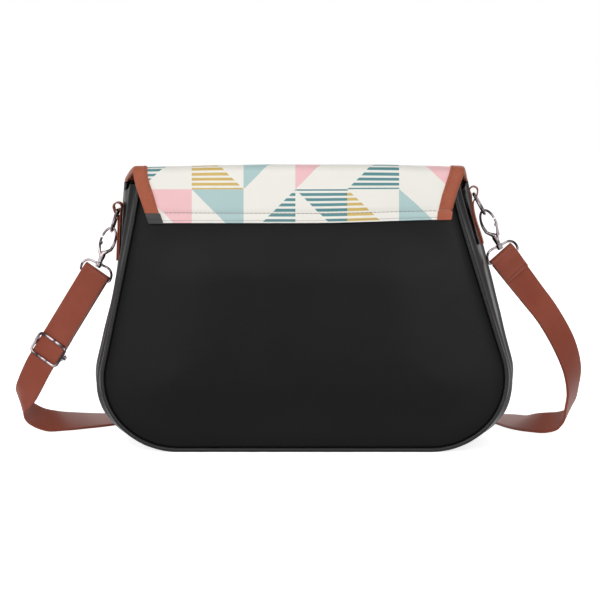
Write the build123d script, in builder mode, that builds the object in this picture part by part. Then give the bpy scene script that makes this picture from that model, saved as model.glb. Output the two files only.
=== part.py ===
from build123d import *
import os
from math import asin, cos, hypot, radians, sin, tan

# A saddle handbag that stands on its base. The front faces -Y, the back +Y.
# Millimetres, Z up, origin under the middle of the base.

# ---------------------------------------------------------------- bag body
bag_depth = 76.0            # seam to seam at the base
panel_height = 186.0        # base to mouth, up the leaning panels
panel_lean = 4.1            # degrees that the front and back lean together
panel_thickness = 2.8       # faux leather on foam
gusset_wall = 1.4
seam_allowance = 7.0        # turned in behind each panel
allowance_thickness = 1.0
piping_diameter = 3.2
lining_thickness = 0.8
board_thickness = 2.0       # stiffener under the lining
board_length = 176.0
board_width = 54.0
layer_gap = 0.3             # air between soft layers that only touch

# outline of a rim: half of the flat base, two corner radii, and on the +X and
# the -X side the lean of the flank and the lean left at the mouth, in degrees
low_turn = 44.0
back_rim = dict(flat=88.0, low=56.2, hip=49.0, lean={1: 11.8, -1: 17.4},
                top_lean={1: 11.0, -1: 16.6})
mid_rim = dict(flat=97.0, low=55.0, hip=38.2, lean={1: 12.2, -1: 13.6},
               top_lean={1: -0.6, -1: 12.4})
front_rim = dict(flat=96.0, low=57.0, hip=46.0, lean={1: 14.5, -1: 14.5},
                 top_lean={1: 3.0, -1: 12.5})
flank_top = 96.0            # height where the straight flank ends

# -------------------------------------------------------------------- flap
flap_shift = 4.5            # the flap sits a little towards +X
outer_thickness = 1.2
flap_lining_thickness = 1.0
binding_thickness = 0.8
binding_width = 10.0
hem_height = 159.0
hem_seam = 7.5              # stitch line above the hem's edge
hem_half_width = 104.5
fold_back_rise = 12.5       # the fold at the back, above the mouth
fold_front_rise = 2.7       # the fold at the front, above the mouth
fold_back_half_width = 114.3
fold_front_half_width = 122.5
flap_drop = 130.0           # length of the front part
flap_belly = 127.0          # half width of the front part where it is widest
flap_corner = 62.0
flap_stand_off = 2.2        # degrees that the front part hangs off the panel
fold_gap = 0.3

# --------------------------------------------------------- magnetic closure
snap_drop = 108.0           # from the front fold down the flap
snap_diameter = 18.0
snap_socket_height = 3.2
snap_plate = 1.0
snap_pin_diameter = 5.6
snap_pin_height = 1.2
snap_hole_clearance = 0.4
washer_diameter = 15.0
washer_thickness = 0.7

# ------------------------------------------------------------ tabs and rings
tab_width = 13.0
tab_layer = 1.1
tab_length = 36.0           # from the ring's bar down the gusset
tab_back = 8.0              # the tabs sit this far in front of the middle
ring_wire = 2.0
ring_inner_width = 15.0
ring_height = 16.5          # wire centre to wire centre
ring_corner = 1.8

# ------------------------------------------------------------------- clasps
hook_height = 27.5
hook_width = 11.5
hook_limb = 1.6
hook_thickness = 2.2
hook_root = 6.0             # bottom of the oval above the collar
cheek_thickness = 3.2
neck_width = 3.6
pivot_x = 2.4
pivot_y = 6.4
hub_radius = 1.7
gate_thickness = 1.5
gate_reach = 12.4           # from the pivot to the nose
gate_slot = 4.2
gate_gap = 0.2
gate_pin_diameter = 1.0
gate_bore_clearance = 0.03
knob_diameter = 2.6
knob_length = 3.4
spring_wall = 0.5
spring_width = 1.0
post_diameter = 1.8
post_depth = 1.6            # how far the post stands in the neck
post_head_diameter = 4.0
post_head_height = 1.2
swivel_gap = 0.15
boss_diameter = 4.8
boss_height = 2.4
boss_bore_clearance = 0.2
bail_wire = 1.8
bail_inner_width = 22.0
bail_height = 9.5           # wire centre to wire centre
bail_top_corner = 7.0
bail_low_corner = 2.0
chain_play = 0.9

# -------------------------------------------------------------------- strap
strap_width = 20.0
strap_thickness = 1.8
fold_play = 0.2             # round the bail's bar
fold_slack = 2.4            # lets the bail skew in its fold
fold_leg = 4.5
end_leg = 16.0              # the sewn end in front of the right-hand fold
run_length = 82.0           # doubled run and a little more, left of the bag
slider_distance = 64.0      # from the left bail's bar to the slider's pin
slider_wire = 2.0
slider_height = 16.0
slider_corner = 3.0
slider_side_gap = 0.3
slider_face_gap = 0.15
slider_pin_diameter = 1.8
slider_ear_height = 5.0
slider_knob_diameter = 3.4
slider_knob_length = 1.4
tail_length = 14.0          # sewn tail of the strap's end above the slider's pin

# how each side's chain hangs: sides +1 (left in the back view) and -1, the
# ring's bar below the mouth and off the gusset's ridge, the lean and turn of the
# tab, and the directions of the ring, the clasp and the strap
chains = {
    "left": dict(
        side=1, bar_drop=19.5, stand_off=4.6, ring_out=17.5, clasp_up=(-0.37, 0.15, 0.92),
        strap_down=(0.524, -0.137, -0.841), strap_across=(0.82, -0.20, 0.54),
        tab_lean=2.7, tab_turn=0.0,
    ),
    "right": dict(
        side=-1, bar_drop=8.2, stand_off=3.8, ring_out=28.5, clasp_up=(0.42, 0.12, 0.90),
        strap_down=(-0.62, -0.17, -0.77), strap_across=(-0.81, -0.20, 0.56),
        tab_lean=12.6, tab_turn=6.3,
    ),
}

# the strap's lie between the left run and the right fold: middle of the strap
# and the way across it, from the edge near the bag to the outer edge
strap_lie = [
    ((201.5, -28.0, 33.0), (0.75, -0.45, 0.48)),
    ((206.5, -34.5, 23.5), (0.35, -0.72, 0.60)),
    ((201.5, -44.0, 14.5), (0.02, -0.74, 0.67)),
    ((191.0, -49.5, 8.2), (0.20, -0.68, 0.70)),
    ((179.0, -54.5, 6.6), (0.36, -0.75, 0.55)),
    ((167.5, -63.0, 5.4), (0.51, -0.74, 0.44)),
    ((155.0, -72.5, 4.3), (0.58, -0.75, 0.33)),
    ((139.0, -87.0, 3.0), (0.66, -0.73, 0.18)),
    ((121.0, -104.0, 1.2), (0.65, -0.76, 0.0)),
    ((97.0, -122.0, 1.0), (0.55, -0.84, 0.0)),
    ((68.0, -137.0, 1.0), (0.42, -0.91, 0.0)),
    ((35.0, -147.0, 1.0), (0.22, -0.98, 0.0)),
    ((0.0, -152.0, 1.0), (0.05, -1.0, 0.0)),
    ((-35.0, -151.0, 1.0), (-0.10, -0.99, 0.0)),
    ((-70.0, -145.0, 1.0), (-0.28, -0.96, 0.0)),
    ((-100.0, -134.0, 1.0), (-0.45, -0.89, 0.0)),
    ((-124.0, -119.0, 1.0), (-0.65, -0.76, 0.0)),
    ((-141.0, -101.0, 1.8), (-0.78, -0.62, 0.08)),
    ((-151.5, -83.0, 3.2), (-0.86, -0.48, 0.20)),
    ((-158.0, -66.5, 4.2), (-0.84, -0.44, 0.31)),
    ((-163.5, -55.0, 5.6), (-0.72, -0.52, 0.45)),
    ((-170.5, -47.0, 6.6), (-0.48, -0.69, 0.54)),
    ((-178.5, -42.5, 7.2), (-0.24, -0.78, 0.58)),
    ((-187.0, -40.0, 9.5), (-0.20, -0.87, 0.45)),
    ((-191.5, -36.0, 14.0), (-0.22, -0.96, 0.15)),
    ((-193.5, -31.5, 22.5), (-0.36, -0.93, -0.08)),
    ((-195.0, -29.0, 34.0), (-0.46, -0.88, -0.10)),
    ((-194.0, -26.5, 50.0), (-0.69, -0.72, 0.0)),
    ((-187.0, -23.0, 69.0), (-0.79, -0.55, 0.25)),
    ((-175.0, -19.5, 89.5), (-0.77, -0.51, 0.38)),
    ((-163.0, -16.5, 105.0), (-0.78, -0.42, 0.46)),
]

# ------------------------------------------------------------ derived sizes
piping_radius = piping_diameter / 2
lean_cos = cos(radians(panel_lean))
lean_sin = sin(radians(panel_lean))
half_depth = bag_depth / 2
back_seam = Plane(origin=(0, half_depth, 0), x_dir=(1, 0, 0), z_dir=(0, -lean_cos, -lean_sin))
mid_seam = Plane(origin=(0, 0, 0), x_dir=(1, 0, 0), z_dir=(0, -1, 0))
front_seam = Plane(origin=(0, -half_depth, 0), x_dir=(1, 0, 0), z_dir=(0, -lean_cos, lean_sin))
# the back seam's plane faces into the bag, the front seam's plane out of it
rims = {"back": (back_seam, back_rim), "mid": (mid_seam, mid_rim), "front": (front_seam, front_rim)}

os.makedirs("parts", exist_ok=True)


def save(name, builder):
    """Label a finished piece and write it under its own name."""
    builder.part.label = name
    export_step(builder.part, f"parts/{name}.step")


def rim_half(rim, side, inset, height):
    """One half of a rim's outline, from the middle of the base up to the mouth."""
    lean, top_lean = rim["lean"][side], rim["top_lean"][side]
    base = Line((0, inset), (side * rim["flat"], inset))
    low = JernArc(base @ 1, base % 1, rim["low"] - inset, side * low_turn)
    hip = JernArc(low @ 1, low % 1, rim["hip"] - inset, side * (90 + lean - low_turn))
    start = hip @ 1
    flank = Line(start, start + (hip % 1) * ((flank_top - start.Y) / cos(radians(lean))))
    bend = sin(radians(lean)) - sin(radians(top_lean))
    crown = JernArc(flank @ 1, flank % 1, (height - flank_top) / bend, side * (top_lean - lean))
    return crown @ 1


def rim_reach(rim, side, height):
    """How far a rim reaches from the middle at a height between flank and mouth."""
    turn, lean = radians(low_turn), radians(rim["lean"][side])
    start = rim["flat"] + rim["low"] * sin(turn) + rim["hip"] * (cos(lean) - sin(turn))
    rise = rim["low"] * (1 - cos(turn)) + rim["hip"] * (cos(turn) + sin(lean))
    flank_end = start - (flank_top - rise) * tan(lean)
    bend = sin(lean) - sin(radians(rim["top_lean"][side]))
    radius = (panel_height * lean_cos - flank_top) / bend
    lean_here = asin(sin(lean) - (height - flank_top) / radius)
    return flank_end - radius * (cos(lean_here) - cos(lean))


def rim_face(rim, inset, height):
    """The closed outline of a rim, flat across the mouth."""
    with BuildSketch() as face:
        with BuildLine():
            right = rim_half(rim, 1, inset, height)
            left = rim_half(rim, -1, inset, height)
            Line(right, left)
        make_face()
    return face.sketch


def rim_height(name, extra=0.0):
    """Height of the mouth up a seam's own plane, so that all three rims end level."""
    return (panel_height * lean_cos if name == "mid" else panel_height) + extra


def rim_loft(inset, extra=0.0):
    """A solid between the back seam and the front seam, through the gusset's ridge."""
    with BuildPart() as solid:
        for name, (plane, rim) in rims.items():
            with BuildSketch(plane):
                add(rim_face(rim, inset, rim_height(name, extra)))
        loft(ruled=True)
    return solid.part


def shifted(plane, distance):
    """A plane moved along its own normal."""
    return plane.offset(distance)


def unit(values):
    return Vector(*values).normalized()


def square_to(vector, normal):
    """The part of a vector that is square to a normal, as a unit vector."""
    return (vector - normal * vector.dot(normal)).normalized()


# ================================================================ bag body
with BuildPart() as gusset:
    add(rim_loft(0.0))
    add(rim_loft(gusset_wall, extra=2 * gusset_wall), mode=Mode.SUBTRACT)
    # seam allowances turned in behind each panel
    for name, inward in (("back", allowance_thickness), ("front", -allowance_thickness)):
        plane, rim = rims[name]
        with BuildSketch(plane):
            add(rim_face(rim, gusset_wall / 2, panel_height))
            add(rim_face(rim, seam_allowance, panel_height + seam_allowance), mode=Mode.SUBTRACT)
        extrude(amount=inward)
save("gusset", gusset)

for name, outward in (("back", -panel_thickness), ("front", panel_thickness)):
    plane, rim = rims[name]
    with BuildPart() as panel:
        with BuildSketch(plane):
            add(rim_face(rim, piping_diameter, panel_height))
        extrude(amount=outward)
    save(f"{name}_panel", panel)

for name, outward in (("back", -piping_radius), ("front", piping_radius)):
    plane, rim = rims[name]
    with BuildLine() as half_lines:
        rim_half(rim, 1, piping_radius, panel_height)
        rim_half(rim, -1, piping_radius, panel_height)
    cord_path = shifted(plane, outward).location * half_lines.wires()[0]
    with BuildPart() as piping:
        with BuildSketch(Plane(origin=cord_path @ 0, z_dir=cord_path % 0)):
            Circle(piping_radius)
        sweep(path=cord_path)
    save(f"{name}_piping", piping)

# the lining hangs inside the seam allowances and clears the base board
lining_inset = gusset_wall + board_thickness + layer_gap
lining_depth = allowance_thickness + layer_gap
for name, inward in (("back", 1), ("front", -1)):
    plane, rim = rims[name]
    with BuildPart() as lining:
        with BuildSketch(shifted(plane, inward * lining_depth)):
            add(rim_face(rim, lining_inset, panel_height))
        extrude(amount=inward * lining_thickness)
    save(f"lining_{name}", lining)

lining_end = lining_depth + lining_thickness
with BuildPart() as lining_gusset:
    add(rim_loft(lining_inset))
    add(rim_loft(lining_inset + lining_thickness, extra=2 * lining_inset), mode=Mode.SUBTRACT)
    split(bisect_by=shifted(back_seam, lining_end), keep=Keep.TOP)
    split(bisect_by=shifted(front_seam, -lining_end), keep=Keep.BOTTOM)
save("lining_gusset", lining_gusset)

with BuildPart() as base_board:
    with BuildSketch(Plane.XY.offset(gusset_wall)):
        RectangleRounded(board_length, board_width, board_width / 6)
    extrude(amount=board_thickness)
save("base_board", base_board)

# ==================================================================== flap
flap_thickness = outer_thickness + flap_lining_thickness
# seam plane to mid flap, with the binding's inner side just off the piping
flap_offset = piping_diameter + layer_gap + binding_thickness + flap_thickness / 2


def panel_y(height):
    """Distance of a seam plane from the middle at a height."""
    return half_depth - height * tan(radians(panel_lean))


mouth_height = panel_height * lean_cos
fold_back_height = mouth_height + fold_back_rise
fold_front_height = mouth_height + fold_front_rise
fold_back_y = panel_y(fold_back_height) + flap_offset / lean_cos
fold_front_y = -panel_y(fold_front_height) - flap_offset / lean_cos
top_length = hypot(fold_back_y - fold_front_y, fold_back_height - fold_front_height)
front_lean = radians(panel_lean + flap_stand_off)

# each plane runs along its part of the flap from the fold, outer side along +Z
back_flap = Plane(origin=(flap_shift, fold_back_y, fold_back_height),
                  x_dir=(-1, 0, 0), z_dir=(0, lean_cos, lean_sin))
top_along = unit((0, fold_front_y - fold_back_y, fold_front_height - fold_back_height))
top_flap = Plane(origin=(flap_shift, fold_back_y, fold_back_height),
                 x_dir=(1, 0, 0), z_dir=(0, top_along.Z, -top_along.Y))
front_flap = Plane(origin=(flap_shift, fold_front_y, fold_front_height),
                   x_dir=(1, 0, 0), z_dir=(0, -cos(front_lean), sin(front_lean)))

back_flap_length = (fold_back_height - hem_height) / lean_cos
bead = flap_thickness / 2
layer_start = bead + fold_gap
bound_start = bead + binding_thickness + fold_gap


def back_outline(start, trim):
    """The part on the back, from below the fold to the hem, widening upwards."""
    slope = (fold_back_half_width - hem_half_width) / back_flap_length
    top = fold_back_half_width - slope * start - trim
    low = hem_half_width - trim
    with BuildSketch() as outline:
        Polygon((-top, -start), (top, -start), (low, -back_flap_length),
                (-low, -back_flap_length), align=None)
    return outline.sketch


def top_outline(start, end, trim):
    """The part over the mouth, between the two folds."""
    slope = (fold_front_half_width - fold_back_half_width) / top_length
    near = fold_back_half_width + slope * start - trim
    far = fold_back_half_width + slope * end - trim
    with BuildSketch() as outline:
        Polygon((-near, -start), (near, -start), (far, -end), (-far, -end), align=None)
    return outline.sketch


def front_outline(start, trim):
    """The saddle shape over the front: a little wider at the belly, round below."""
    top = fold_front_half_width - trim
    belly = flap_belly - trim
    radius = flap_corner - trim
    bottom = -(flap_drop - trim)
    turn = bottom + radius
    with BuildSketch() as outline:
        with BuildLine():
            Line((-top, -start), (top, -start))
            Line((top, -start), (belly, turn))
            RadiusArc((belly, turn), (belly - radius, bottom), radius)
            Line((belly - radius, bottom), (-belly + radius, bottom))
            RadiusArc((-belly + radius, bottom), (-belly, turn), radius)
            Line((-belly, turn), (-top, -start))
        make_face()
    return outline.sketch


outer_low = flap_thickness / 2 - outer_thickness      # inner side of the outer layer

with BuildPart() as flap_back:
    with BuildSketch(shifted(back_flap, -bead)):
        add(back_outline(layer_start, 0.0))
    extrude(amount=flap_thickness)
save("flap_back", flap_back)

with BuildPart() as flap_top:
    with BuildSketch(shifted(top_flap, outer_low)):
        add(top_outline(0.0, top_length - layer_start, 0.0))
    extrude(amount=outer_thickness)
    with BuildSketch(Plane.YZ.offset(flap_shift - fold_back_half_width)):
        with Locations((fold_back_y, fold_back_height)):
            Circle(bead)
    extrude(amount=2 * fold_back_half_width)
save("flap_top", flap_top)

with BuildPart() as flap_top_lining:
    with BuildSketch(shifted(top_flap, -bead)):
        add(top_outline(layer_start, top_length - layer_start, 0.0))
    extrude(amount=flap_lining_thickness)
save("flap_top_lining", flap_top_lining)

with BuildPart() as flap_front:
    with BuildSketch(shifted(front_flap, outer_low)):
        add(front_outline(0.0, 0.0))
    extrude(amount=outer_thickness)
    with BuildSketch(Plane.YZ.offset(flap_shift - fold_front_half_width)):
        with Locations((fold_front_y, fold_front_height)):
            Circle(bead)
    extrude(amount=2 * fold_front_half_width)
save("flap_front", flap_front)

# the stud's washer is buried in the lining behind the outer layer
snap_centre_y = -snap_drop
with BuildPart() as flap_front_lining:
    with BuildSketch(shifted(front_flap, -bead)):
        add(front_outline(layer_start, 0.0))
        with Locations((-flap_shift, snap_centre_y)):
            Circle(washer_diameter / 2 + fold_gap, mode=Mode.SUBTRACT)
    extrude(amount=flap_lining_thickness)
save("flap_front_lining", flap_front_lining)

# bindings: folded over the edges, standing a binding's thickness off each face
bound_low = -bead - binding_thickness
bound_thickness = flap_thickness + 2 * binding_thickness

with BuildPart() as flap_back_binding:
    with BuildSketch(shifted(back_flap, bound_low)):
        add(back_outline(bound_start, -binding_thickness))
        add(back_outline(bound_start - binding_width, binding_width), mode=Mode.SUBTRACT)
    extrude(amount=bound_thickness)
    with BuildSketch(shifted(back_flap, -bead)):
        add(back_outline(layer_start, 0.0))
    extrude(amount=flap_thickness, mode=Mode.SUBTRACT)
    # on the +X side the binding stops at the stitch line above the hem patch
    with BuildSketch(shifted(back_flap, bound_low)):
        with Locations((-hem_half_width, hem_seam / 2 - back_flap_length)):
            Rectangle(4 * binding_width, hem_seam)
    extrude(amount=bound_thickness, mode=Mode.SUBTRACT)
save("flap_back_binding", flap_back_binding)

with BuildPart() as hem_patch:
    with BuildSketch(shifted(back_flap, bead)):
        with Locations((binding_width / 2 - hem_half_width, hem_seam / 2 - back_flap_length)):
            Rectangle(binding_width, hem_seam)
    extrude(amount=binding_thickness)
save("hem_patch", hem_patch)

with BuildPart() as flap_top_binding:
    with BuildSketch(shifted(top_flap, bound_low)):
        add(top_outline(bound_start, top_length - bound_start, -binding_thickness))
        add(top_outline(0.0, top_length, binding_width), mode=Mode.SUBTRACT)
    extrude(amount=bound_thickness)
    with BuildSketch(shifted(top_flap, -bead)):
        add(top_outline(0.0, top_length, 0.0))
    extrude(amount=flap_thickness, mode=Mode.SUBTRACT)
save("flap_top_binding", flap_top_binding)

with BuildPart() as flap_front_binding:
    with BuildSketch(shifted(front_flap, bound_low)):
        add(front_outline(bound_start, -binding_thickness))
        add(front_outline(0.0, binding_width), mode=Mode.SUBTRACT)
    extrude(amount=bound_thickness)
    with BuildSketch(shifted(front_flap, -bead)):
        add(front_outline(0.0, 0.0))
    extrude(amount=flap_thickness, mode=Mode.SUBTRACT)
save("flap_front_binding", flap_front_binding)

# ======================================================== magnetic closure
front_outer = shifted(front_seam, panel_thickness)
snap_point = front_flap.from_local_coords(Vector(-flap_shift, snap_centre_y, -bead))
snap_flap_plane = Plane(origin=snap_point, x_dir=(1, 0, 0), z_dir=front_flap.z_dir)
snap_panel_height = front_outer.to_local_coords(snap_point).Y
panel_snap = Plane(origin=front_outer.from_local_coords(Vector(0, snap_panel_height, 0)),
                   x_dir=(1, 0, 0), z_dir=front_outer.z_dir)
washer_radius = washer_diameter / 2

with BuildPart() as snap_socket:
    with BuildSketch(panel_snap):
        Circle(snap_diameter / 2)
    extrude(amount=snap_socket_height)
    magnet_floor = panel_snap.offset(snap_plate)
    with BuildSketch(magnet_floor):
        Circle(snap_diameter / 2 - snap_plate)
    extrude(amount=snap_socket_height - 2 * snap_plate, mode=Mode.SUBTRACT)
    with BuildSketch(magnet_floor):
        Circle(snap_pin_diameter / 2 + snap_hole_clearance)
    extrude(amount=snap_socket_height, mode=Mode.SUBTRACT)
save("snap_socket", snap_socket)

with BuildPart() as snap_magnet:
    with BuildSketch(magnet_floor):
        Circle(snap_diameter / 2 - snap_plate)
        Circle(snap_pin_diameter / 2 + snap_hole_clearance, mode=Mode.SUBTRACT)
    extrude(amount=snap_socket_height - 2 * snap_plate)
save("snap_magnet", snap_magnet)

with BuildPart() as snap_socket_washer:
    with BuildSketch(shifted(panel_snap, -panel_thickness)):
        Circle(washer_radius)
    extrude(amount=-washer_thickness)
save("snap_socket_washer", snap_socket_washer)

with BuildPart() as snap_stud:
    with BuildSketch(snap_flap_plane):
        Circle(snap_diameter / 2)
    extrude(amount=-snap_plate)
    with BuildSketch(shifted(snap_flap_plane, -snap_plate)):
        Circle(snap_pin_diameter / 2)
    extrude(amount=-snap_pin_height)
save("snap_stud", snap_stud)

with BuildPart() as snap_stud_washer:
    with BuildSketch(snap_flap_plane):
        Circle(washer_radius)
    extrude(amount=washer_thickness)
save("snap_stud_washer", snap_stud_washer)

# =================================================== tabs, rings and clasps
oval_middle = hook_height - (hook_height - hook_root) / 2
oval_rise = (hook_height - hook_root) / 2
ring_reach = hook_height - hook_limb - ring_wire / 2 - chain_play   # collar to ring wire


def tab_frame(chain):
    """Middle of the ring's bar, the way along the bar, and the way out of the gusset."""
    turn = radians(chain["tab_turn"])
    along = Vector(sin(turn), cos(turn), 0)
    out = Vector(chain["side"] * cos(turn), -chain["side"] * sin(turn), 0)
    height = mouth_height - chain["bar_drop"]
    reach = rim_reach(mid_rim, chain["side"], height) + chain["stand_off"]
    return Vector(chain["side"] * reach, -tab_back, height), along, out


def chain_frames(chain):
    """Planes of the ring, the hook and the bail of one side, and the bar in the strap."""
    side = chain["side"]
    bar, along, out = tab_frame(chain)
    swing = radians(chain["ring_out"])
    ring_down = out * sin(swing) - Vector(0, 0, cos(swing))
    ring_plane = Plane(origin=bar, x_dir=along, z_dir=along.cross(-ring_down))
    clasp_up = unit(chain["clasp_up"])
    collar = bar + ring_down * ring_height - clasp_up * ring_reach
    depth = square_to(Vector(0, 1, 0), clasp_up)
    hook_plane = Plane(origin=collar, x_dir=clasp_up.cross(depth * -side), z_dir=depth * -side)
    down = unit(chain["strap_down"])
    across = square_to(unit(chain["strap_across"]), down)
    face = across.cross(down) * side
    bail_face = square_to(face, clasp_up)
    boss = collar - clasp_up * (swivel_gap + boss_height / 2)
    bail_plane = Plane(origin=boss, x_dir=clasp_up.cross(bail_face), z_dir=bail_face)
    strap_bar = boss - clasp_up * bail_height
    # the fold's section: X out of the strap's visible face, Y up the strap
    fold_plane = Plane(origin=strap_bar, x_dir=face, z_dir=face.cross(-down))
    return ring_plane, hook_plane, bail_plane, fold_plane


def tab(chain):
    """A strip of two layers up the gusset with a loop at its top, round the ring's bar."""
    lean = radians(chain["tab_lean"])
    bar, along, out = tab_frame(chain)
    outward = out * cos(lean) + Vector(0, 0, sin(lean))
    up = Vector(0, 0, cos(lean)) - out * sin(lean)
    plane = Plane(origin=bar, x_dir=outward, z_dir=outward.cross(up))
    slot = ring_wire + 2 * fold_play + tab_layer / 2
    loop = slot + 2 * tab_layer
    root = -slot / 2 - tab_layer
    with BuildPart() as strip:
        with BuildSketch(plane):
            with Locations((0, ring_wire / 2)):
                SlotCenterToCenter(ring_wire, loop, rotation=90)
            Polygon((root, 0), (loop / 2, 0), (root + 2 * tab_layer, -loop),
                    (root + 2 * tab_layer, -tab_length), (root, -tab_length), align=None)
            with Locations((0, ring_wire / 2)):
                SlotCenterToCenter(ring_wire, slot, rotation=90, mode=Mode.SUBTRACT)
        extrude(amount=tab_width / 2, both=True)
    return strip


def ring(plane):
    """A D-ring of round wire, its bar along the top of the plane."""
    half = (ring_inner_width + ring_wire) / 2
    with BuildLine() as outline:
        FilletPolyline((-half, 0), (half, 0), (half, -ring_height), (-half, -ring_height),
                       radius=(ring_corner, ring_corner, half * 0.99, half * 0.99), close=True)
    path = plane.location * outline.wires()[0]
    with BuildPart() as wire:
        with BuildSketch(Plane(origin=path @ 0, z_dir=path % 0)):
            Circle(ring_wire / 2)
        sweep(path=path)
    return wire


def oval(shrink):
    """The hook's oval, drawn in by a limb's width for its inner side."""
    with BuildSketch() as outline:
        with Locations((0, oval_middle)):
            Ellipse(hook_width / 2 - shrink, oval_rise - shrink)
    return outline.sketch


def gate_side(radius, start):
    """What lies on the gate's side of the oval within a reach of the pivot."""
    with BuildSketch() as region:
        with Locations((pivot_x, pivot_y)):
            Circle(radius)
        with Locations((start, pivot_y)):
            Rectangle(hook_width * 2, hook_height, align=(Align.MAX, Align.CENTER),
                      mode=Mode.SUBTRACT)
        with Locations((start, pivot_y)):
            Rectangle(hook_width * 2, hook_height, align=(Align.CENTER, Align.MAX),
                      mode=Mode.SUBTRACT)
    return region.sketch


def hook_body(plane):
    """The cast hook: oval limb with a nose, and a fork at the root for the gate."""
    with BuildPart() as body:
        with BuildSketch(plane):
            add(oval(0.0))
            Polygon((-neck_width / 2, 0), (neck_width / 2, 0),
                    (neck_width, oval_middle - oval_rise / 2),
                    (-neck_width, oval_middle - oval_rise / 2), align=None)
            add(oval(hook_limb), mode=Mode.SUBTRACT)
            add(gate_side(gate_reach + gate_gap, pivot_x - hub_radius - gate_gap),
                mode=Mode.SUBTRACT)
        extrude(amount=hook_thickness / 2, both=True)
        with BuildSketch(plane):
            Polygon((-neck_width / 2, 0), (neck_width / 2, 0),
                    (pivot_x + hub_radius, pivot_y), (-neck_width, pivot_y + hub_radius),
                    align=None)
            with Locations((pivot_x, pivot_y)):
                Circle(hub_radius)
        extrude(amount=cheek_thickness / 2, both=True)
        with BuildSketch(plane):
            with Locations((pivot_x, pivot_y)):
                Circle(gate_slot)
        extrude(amount=gate_thickness / 2 + gate_gap / 2, both=True, mode=Mode.SUBTRACT)
        with BuildSketch(plane):
            with Locations((pivot_x, pivot_y)):
                Circle(gate_pin_diameter / 2)
        extrude(amount=cheek_thickness, both=True, mode=Mode.SUBTRACT)
        with BuildSketch(Plane(origin=plane.origin, z_dir=plane.y_dir)):
            Circle(post_diameter / 2)
        extrude(amount=post_depth, mode=Mode.SUBTRACT)
    return body


def hook_gate(plane):
    """The sprung gate: hub, arm up to the nose, and a thumb knob."""
    with BuildPart() as gate:
        with BuildSketch(plane):
            add(oval(0.0))
            add(oval(hook_limb), mode=Mode.SUBTRACT)
            add(gate_side(gate_reach, pivot_x), mode=Mode.INTERSECT)
            with Locations((pivot_x, pivot_y)):
                Circle(hub_radius)
        extrude(amount=gate_thickness / 2, both=True)
        with BuildSketch(plane):
            with Locations((hook_width / 2 - hook_limb, oval_middle - hook_limb * 2)):
                Circle(knob_diameter / 2)
        extrude(amount=knob_length / 2, both=True)
        with BuildSketch(plane):
            with Locations((pivot_x, pivot_y)):
                Circle(gate_pin_diameter / 2 + gate_bore_clearance)
        extrude(amount=cheek_thickness, both=True, mode=Mode.SUBTRACT)
    return gate


def gate_pin(plane):
    with BuildPart() as pin:
        with BuildSketch(plane):
            with Locations((pivot_x, pivot_y)):
                Circle(gate_pin_diameter / 2)
        extrude(amount=cheek_thickness / 2, both=True)
    return pin


def gate_spring(plane):
    """A curved leaf in the fork, round the lower side of the gate's hub."""
    inner = hub_radius + gate_gap
    with BuildPart() as spring:
        with BuildSketch(plane):
            with Locations((pivot_x, pivot_y)):
                Circle(inner + spring_wall)
                Circle(inner, mode=Mode.SUBTRACT)
                Rectangle(gate_slot * 2, gate_slot * 2, align=(Align.CENTER, Align.MIN),
                          mode=Mode.SUBTRACT)
                Rectangle(gate_slot * 2, gate_slot * 2, align=(Align.MIN, Align.CENTER),
                          mode=Mode.SUBTRACT)
        extrude(amount=spring_width / 2, both=True)
    return spring


def swivel_post(plane):
    """The post from the hook's neck through the bail's boss, headed below it."""
    shank = swivel_gap * 2 + boss_height
    with BuildPart() as post:
        with BuildSketch(Plane(origin=plane.origin + plane.y_dir * post_depth,
                               z_dir=-plane.y_dir)):
            Circle(post_diameter / 2)
        extrude(amount=post_depth + shank)
        with BuildSketch(Plane(origin=plane.origin - plane.y_dir * shank, z_dir=-plane.y_dir)):
            Circle(post_head_diameter / 2)
        extrude(amount=post_head_height)
    return post


def bail(plane):
    """A rounded bail of round wire with a bored boss in the middle of its top."""
    half = (bail_inner_width + bail_wire) / 2
    with BuildLine() as outline:
        FilletPolyline((-half, 0), (half, 0), (half, -bail_height), (-half, -bail_height),
                       radius=(bail_top_corner - bail_low_corner / 2,
                               bail_top_corner - bail_low_corner / 2,
                               bail_low_corner, bail_low_corner), close=True)
    path = plane.location * outline.wires()[0]
    with BuildPart() as wire:
        with BuildSketch(Plane(origin=path @ 0, z_dir=path % 0)):
            Circle(bail_wire / 2)
        sweep(path=path)
        boss_top = Plane(origin=plane.origin + plane.y_dir * boss_height / 2, z_dir=-plane.y_dir)
        with BuildSketch(boss_top):
            Circle(boss_diameter / 2)
        extrude(amount=boss_height)
        with BuildSketch(boss_top):
            Circle(post_diameter / 2 + boss_bore_clearance)
        extrude(amount=boss_height, mode=Mode.SUBTRACT)
    return wire


fold_inner = bail_wire / 2 + fold_play
fold_middle = fold_inner + strap_thickness / 2       # bar's centre to a layer's middle


def fold_section(front_leg, back_leg, pinch):
    """The strap round the bail's bar: a half turn and two legs, the front one drawn in."""
    outer = fold_inner + strap_thickness
    with BuildSketch() as section:
        with Locations((0, fold_slack)):
            Circle(outer)
        with Locations((0, fold_slack)):
            Circle(fold_inner, mode=Mode.SUBTRACT)
            Rectangle(outer * 2, outer * 2, align=(Align.CENTER, Align.MAX), mode=Mode.SUBTRACT)
        front_end, knee = fold_slack - front_leg, -2 * bail_wire
        Polygon((fold_inner, fold_slack), (outer, fold_slack), (outer, knee),
                (outer - pinch, front_end), (fold_inner - pinch, front_end),
                (fold_inner, knee), align=None)
        back_end = fold_slack - back_leg
        Polygon((-outer, fold_slack), (-fold_inner, fold_slack),
                (-fold_inner, back_end), (-outer, back_end), align=None)
    return section.sketch


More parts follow.
